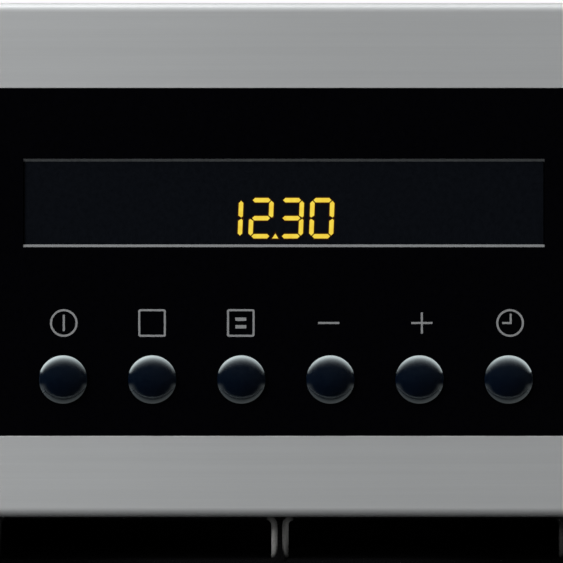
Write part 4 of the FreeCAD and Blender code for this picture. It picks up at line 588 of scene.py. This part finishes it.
def display_figures(name, depth, grow, material):
    """The segments as thin plates on the lens, grown where they are the halo behind the figures."""
    mesh = bmesh.new()
    front, back = LENS_LOW.y - depth, LENS_LOW.y
    middle = LENS_LOW.z + FIGURE_Z_MM * MM

    def lay(points, x):
        leaning = [((x + u + v * FIGURE_LEAN) * MM, middle + v * MM) for u, v in points]
        prism(mesh, leaning, front, back)

    for i, figure in enumerate(FIGURES):
        for letter in SEGMENTS[figure]:
            lay(segment_loop(letter, grow), FIGURE_X_MM + i * FIGURE_PITCH_MM)
    low = -FIGURE_HALF_HEIGHT_MM - SEGMENT_WIDTH_MM / 2
    half = POINT_WIDTH_MM / 2 + 2 * grow
    lay([(-half, low - grow), (half, low - grow), (0, low + POINT_HEIGHT_MM + 2 * grow)], POINT_X_MM)
    new_piece(name, mesh, material, "chassis")


# Signs above the buttons, in millimetres about each sign's middle, and their shifts from the buttons' axes.
SIGN_Z_MM = 11.94
SIGN_RADIUS_MM = 2.92
SIGN_STROKE_MM = 0.43
SIGN_CORNER_MM = 0.45
POWER_HALF_MM = 1.72
LINE_Z_MM = 0.8
LINE_HALF_MM = 1.15
LINE_SIDE_MM = 0.36
BAR_HALF_MM = 2.25
HAND_X_MM = 0.13
HAND_UP_MM = 1.98
HAND_LEFT_MM = 1.68
SIGN_SHIFTS_MM = {
    "power": 0.12, "function": -0.05, "program": -0.11, "minus": -0.34, "plus": 0.51, "clock": 0.34,
}
SIGN_DEPTH = 0.00003


def bar(z, half_x, half_z):
    """A plain rectangle on the sign's upright axis, without a hole."""
    return [(-half_x, z - half_z), (half_x, z - half_z), (half_x, z + half_z), (-half_x, z + half_z)], None


def sign_ring():
    return circle_loop(SIGN_RADIUS_MM), circle_loop(SIGN_RADIUS_MM - SIGN_STROKE_MM)


def sign_square():
    inner = SIGN_RADIUS_MM - SIGN_STROKE_MM
    return (box_loop(0, 0, SIGN_RADIUS_MM, SIGN_RADIUS_MM, SIGN_CORNER_MM),
            box_loop(0, 0, inner, inner, SIGN_CORNER_MM / 3))


def sign_plates():
    """Each button's sign as plates, which are pairs of an outline and the outline of its hole or None."""
    thin = SIGN_STROKE_MM / 2
    right, left = HAND_X_MM + thin, HAND_X_MM - thin
    hands = [(right, -thin), (right, HAND_UP_MM), (left, HAND_UP_MM), (left, thin), (-HAND_LEFT_MM, thin),
             (-HAND_LEFT_MM, -thin)]
    plus = []
    arm = [(-BAR_HALF_MM, -thin), (-thin, -thin), (-thin, -BAR_HALF_MM)]
    for _ in range(4):
        plus += arm
        arm = [(-v, u) for u, v in arm]
    lines = [bar(z, LINE_HALF_MM, LINE_SIDE_MM) for z in (LINE_Z_MM, -LINE_Z_MM)]
    return {
        "power": [sign_ring(), bar(0, thin, POWER_HALF_MM)],
        "function": [sign_square()],
        "program": [sign_square(), *lines],
        "minus": [bar(0, BAR_HALF_MM, thin)],
        "plus": [(plus, None)],
        "clock": [sign_ring(), (hands, None)],
    }


def button_signs():
    grey = printed_grey()
    front, back = INSERT_FRONT - SIGN_DEPTH, INSERT_FRONT
    for name, plates in sign_plates().items():
        low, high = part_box(f"button_{name}")
        x = (low.x + high.x) / 2 + SIGN_SHIFTS_MM[name] * MM
        z = (low.z + high.z) / 2 + SIGN_Z_MM * MM

        def place(loop):
            return None if loop is None else [(x + u * MM, z + v * MM) for u, v in loop]

        mesh = bmesh.new()
        for outer, inner in plates:
            prism(mesh, place(outer), front, back, place(inner))
        new_piece(f"sign_{name}", mesh, grey, "chassis")


# Door window: the black print behind the outer pane leaves a clear window.
WINDOW_HALF = 0.205
WINDOW_LOW = 0.088
WINDOW_HIGH = 0.372
WINDOW_CORNER = 0.014
PRINT_CORNER = 0.0035
PRINT_DEPTH = 0.00004
PRINT_MARGIN = 0.0015


def door_print():
    mesh = bmesh.new()
    half_x = DOOR_HIGH.x - PRINT_MARGIN
    half_z = (DOOR_HIGH.z - DOOR_LOW.z) / 2 - PRINT_MARGIN
    window_half_z = (WINDOW_HIGH - WINDOW_LOW) / 2
    outer = box_loop(0, (DOOR_LOW.z + DOOR_HIGH.z) / 2, half_x, half_z, PRINT_CORNER)
    inner = box_loop(0, (WINDOW_LOW + WINDOW_HIGH) / 2, WINDOW_HALF, window_half_z, WINDOW_CORNER)
    prism(mesh, outer, DOOR_HIGH.y, DOOR_HIGH.y + PRINT_DEPTH, inner)
    new_piece("door_print", mesh, printed_black(), "door")


# Hexagon-head screws that hold the rear panel, the top cover and the side panels. Their profiles are rings
# of (radius, height) in millimetres.
WASHER_MM = ((4.6, 0), (4.6, 0.5), (4.2, 0.8))
LOW_HEAD_MM = ((3.1, 0.8), (3.1, 1.3), (2.7, 1.6))
HIGH_HEAD_MM = ((3.1, 0.8), (3.1, 2.0), (2.6, 2.4))
WASHER_SIDES = 28
HEAD_SIDES = 6
REAR_SHEET = 0.001
SCREW_INSET = 0.010
SCREW_INSET_Y = 0.03
SCREWS_HIGH = 5
SCREWS_DEEP = 4


def turned(mesh, sides, profile, move):
    """A closed body of a regular section from the rings of its profile."""
    angles = [2 * math.pi * i / sides for i in range(sides)]
    rings = [[mesh.verts.new(move @ Vector((radius * math.cos(a), radius * math.sin(a), height)))
              for a in angles] for radius, height in profile]
    mesh.faces.new(rings[0][::-1])
    mesh.faces.new(rings[-1])
    for low, high in zip(rings, rings[1:]):
        for i in range(sides):
            j = (i + 1) % sides
            mesh.faces.new((low[i], low[j], high[j], high[i]))


def screws(name, places, outwards, head, material):
    """One piece with a washer and a hexagon head at every place."""
    mesh = bmesh.new()
    turn = Vector((0, 0, 1)).rotation_difference(Vector(outwards)).to_matrix().to_4x4()
    for place in places:
        move = Matrix.Translation(place) @ turn @ Matrix.Scale(MM, 4)
        turned(mesh, WASHER_SIDES, WASHER_MM, move)
        turned(mesh, HEAD_SIDES, head, move)
    new_piece(name, mesh, material, "chassis")


def spread(low, high, inset, count):
    """Evenly spaced places between two edges."""
    return [low + inset + (high - low - 2 * inset) * i / (count - 1) for i in range(count)]


def rear_screws(zinc):
    """Screws along both upright edges, and two more between them at the top and at the foot."""
    low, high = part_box("rear_panel")
    edges = (low.x + SCREW_INSET, high.x - SCREW_INSET)
    skin = low.y + REAR_SHEET
    heights = spread(low.z, high.z, SCREW_INSET, SCREWS_HIGH)
    places = [(x, skin, z) for x in edges for z in heights]
    places += [(x / 3, skin, z) for x in edges for z in (heights[0], heights[-1])]
    screws("rear_screws", places, (0, 1, 0), HIGH_HEAD_MM, zinc)


def top_and_side_screws(zinc):
    """Screws along the side edges of the top cover, and at the same depths in the side panels."""
    low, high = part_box("top_cover")
    edges = (low.x + SCREW_INSET, high.x - SCREW_INSET)
    depths = spread(low.y, high.y, SCREW_INSET_Y, SCREWS_DEEP)
    screws("top_screws", [(x, y, high.z) for x in edges for y in depths], (0, 0, 1), LOW_HEAD_MM, zinc)
    for side, sign in (("left", -1), ("right", 1)):
        low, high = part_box(f"side_panel_{side}")
        skin = high.x if sign > 0 else low.x
        places = [(skin, y, z) for y in depths for z in (low.z + SCREW_INSET, high.z - SCREW_INSET)]
        screws(f"{side}_screws", places, (sign, 0, 0), LOW_HEAD_MM, zinc)


def panel_screws():
    zinc = zinc_screw()
    rear_screws(zinc)
    top_and_side_screws(zinc)


# Studio

# The view is square on to the control panel, at the photograph's scale.
PIXELS = 563
PIXEL_MM = 0.2115
VIEW_DISTANCE = 0.65
VIEW_X_MM = 0.34
VIEW_DROP_MM = 59.05
SENSOR_MM = 36
CLIP_START = 0.01


def camera():
    data = bpy.data.cameras.new("camera")
    data.sensor_width = SENSOR_MM
    data.lens = SENSOR_MM * VIEW_DISTANCE / (PIXELS * PIXEL_MM * MM)
    data.clip_start = CLIP_START
    made = bpy.data.objects.new("camera", data)
    made.location = (VIEW_X_MM * MM, FASCIA_LOW.y - VIEW_DISTANCE, FASCIA_HIGH.z - VIEW_DROP_MM * MM)
    made.rotation_euler = (math.pi / 2, 0, 0)
    bpy.context.scene.collection.objects.link(made)
    bpy.context.scene.camera = made


# The room's levels, and the directions between which each of its zones rises from nought to its full level.
ROOM_DARK = 0.004
ROOM_BRIGHT = 0.85
SOFT_LOW = 0.07
SOFT_HIGH = 0.72
SOFT_Z = (-0.2, 0.5)
BEHIND_Y = (-0.05, 0.4)
CEILING_Z = (0.3, 0.5)
CEILING_SHADE = 0.95
ABOVE_Z = (0.95, 0.995)
GLOW_Y = (-0.5, 0.06)
GLOW_Z = (-0.15, -0.35)
GLOW_SHARE = 0.28


def studio_world():
    """White behind the object, soft grey for matt surfaces, and a room in reflections, dark at the front."""
    world = bpy.data.worlds.new("studio")
    world.use_nodes = True
    bpy.context.scene.world = world
    world.node_tree.nodes.clear()
    sky = Graph(world.node_tree)
    towards = sky.axes(sky.node("TexCoord").outputs["Generated"])

    def zone(axis, limits):
        return sky.span(towards[axis], 0, 1, *limits)

    def level(share, low, high):
        return sky.node("MapRange", {"Value": share, "To Min": low, "To Max": high}).outputs["Result"]

    def background(strength):
        return sky.node("Background", {"Color": WHITE, "Strength": strength}).outputs["Background"]

    ceiling = sky.combine("MULTIPLY", zone("Z", CEILING_Z), CEILING_SHADE)
    behind = sky.combine("SUBTRACT", zone("Y", BEHIND_Y), ceiling)
    glow = sky.combine("MULTIPLY", zone("Y", GLOW_Y), zone("Z", GLOW_Z))
    glow = sky.combine("MULTIPLY", glow, GLOW_SHARE)
    bright = sky.combine("MAXIMUM", sky.combine("MAXIMUM", behind, zone("Z", ABOVE_Z)), glow)
    room = background(level(bright, ROOM_DARK, ROOM_BRIGHT))
    matt = background(level(zone("Z", SOFT_Z), SOFT_LOW, SOFT_HIGH))
    path = sky.node("LightPath").outputs
    mirrored = sky.combine("MAXIMUM", path["Is Glossy Ray"], path["Is Transmission Ray"])
    unseen = sky.mix(mirrored, matt, room)
    seen = sky.mix(path["Is Camera Ray"], unseen, background(1.0))
    sky.tree.links.new(seen, sky.node("OutputWorld").inputs["Surface"])


# The floor: the shares of its radius between which it fades, for the camera and for all other rays.
FLOOR_RADIUS = 2.4
FLOOR_SIDES = 96
FLOOR_DROP = 0.0005
SEEN_FADE = (0.4, 0.95)
UNSEEN_FADE = (0.16, 0.4)


def floor():
    """A pale round floor that fades into the white background, and into the dark room in reflections."""
    finish = Finish("floor", Roughness=0.9, Specular_IOR_Level=0.1)
    speck = finish.noise(30, detail=3)
    grey, white = (0.78, 0.78, 0.775), (0.82, 0.82, 0.815)
    finish.set("Base Color", finish.tint(speck, (0, grey), (1, white)))
    distance = finish.node("VectorMath", {0: finish.place()}, operation="LENGTH").outputs["Value"]

    def fade(shares):
        return finish.span(distance, 0, 1, *(FLOOR_RADIUS * share for share in shares))

    seen = finish.node("LightPath").outputs["Is Camera Ray"]
    shares = {"Factor": seen, "A": fade(UNSEEN_FADE), "B": fade(SEEN_FADE)}
    gone = finish.node("Mix", shares).outputs["Result"]
    clear = finish.node("BsdfTransparent").outputs["BSDF"]
    beyond = finish.mix(seen, clear, finish.glow(1.0))
    faded = finish.mix(gone, finish.shader.outputs["BSDF"], beyond)
    underside = finish.node("NewGeometry").outputs["Backfacing"]
    finish.surface(finish.mix(underside, faded, clear))
    mesh = bmesh.new()
    bmesh.ops.create_circle(mesh, cap_ends=True, segments=FLOOR_SIDES, radius=FLOOR_RADIUS)
    made = new_object("floor", mesh, finish.material)
    made.location = (0, 0, CAD_BOX[0].z - FLOOR_DROP)
    made.visible_diffuse = False
    made.visible_glossy = False


# The strip light over the panel: its even part, its fade to the front, and its strengths to both sides.
STRIP_HEIGHT = 0.25
STRIP_LENGTH = 2.5
STRIP_DEPTH = 0.42
STRIP_EVEN = 0.06
STRIP_FADE = -19.5
STRIP_LEAN = 0.25
STRIP_LEFT = 2.97
STRIP_RIGHT = 2.295


def overhead_strip():
    """A long softbox facing down, whose light fades quickly towards the front and slightly to the right."""
    finish = Finish("overhead_strip")
    where = finish.axes(finish.place())
    even = STRIP_DEPTH / 2 - STRIP_EVEN
    values = {"Value": where["Y"], "From Min": even, "From Max": even - 1, "To Max": STRIP_FADE}
    fade = finish.combine("POWER", math.e, finish.node("MapRange", values).outputs["Result"])
    lean = finish.span(where["X"], STRIP_LEFT, STRIP_RIGHT, -STRIP_LEAN, STRIP_LEAN)
    finish.surface(finish.glow(finish.combine("MULTIPLY", fade, lean)))
    mesh = bmesh.new()
    corners = ((-1, -1), (-1, 1), (1, 1), (1, -1))
    mesh.faces.new([mesh.verts.new((sx * STRIP_LENGTH / 2, sy * STRIP_DEPTH / 2, 0)) for sx, sy in corners])
    made = new_object("overhead_strip", mesh, finish.material)
    made.location = (0, FASCIA_LOW.y - STRIP_DEPTH / 2, FASCIA_HIGH.z + STRIP_HEIGHT)
    made.visible_camera = False
    made.visible_shadow = False


# Lamps round the oven, each with its name, place, width and power in watts, and the lamp in the cavity.
LAMP_AIM = (0, 0, 0.3)
LAMPS = (
    ("key_lamp", (-1.7, -1.6, 1.6), 1.3, 80),
    ("low_lamp", (0.5, -2.6, 0.2), 0.8, 2),
    ("rear_lamp", (1.8, 2.4, 2.2), 1.6, 40),
)
CAVITY_LAMP_FORWARD = 0.05
CAVITY_LAMP_DROP = 0.01
CAVITY_LAMP_WIDTH = 0.26
CAVITY_LAMP_POWER = 1.2


def lamp(name, place, aim, width, power):
    """A soft lamp that shapes the matt surfaces and stays out of the reflections."""
    light = bpy.data.lights.new(name, "AREA")
    light.shape = "DISK"
    light.size = width
    light.energy = power
    made = bpy.data.objects.new(name, light)
    made.location = place
    made.rotation_euler = (Vector(aim) - Vector(place)).to_track_quat("-Z", "Y").to_euler()
    made.visible_camera = False
    made.visible_glossy = False
    made.visible_transmission = False
    bpy.context.scene.collection.objects.link(made)


def lamps():
    for name, place, width, power in LAMPS:
        lamp(name, place, LAMP_AIM, width, power)
    low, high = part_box("grill_element")
    place = (0, (low.y + high.y) / 2 - CAVITY_LAMP_FORWARD, low.z - CAVITY_LAMP_DROP)
    lamp("cavity_lamp", place, (0, high.y, DOOR_LOW.z), CAVITY_LAMP_WIDTH, CAVITY_LAMP_POWER)


def studio():
    bpy.context.scene.view_settings.view_transform = "Standard"
    camera()
    studio_world()
    floor()
    overhead_strip()
    lamps()


dress_parts()
display_figures("display_halo", HALO_DEPTH, HALO_MM, lit_halo())
display_figures("display_figures", FIGURE_DEPTH, 0.0, lit_amber())
button_signs()
door_print()
panel_screws()
studio()
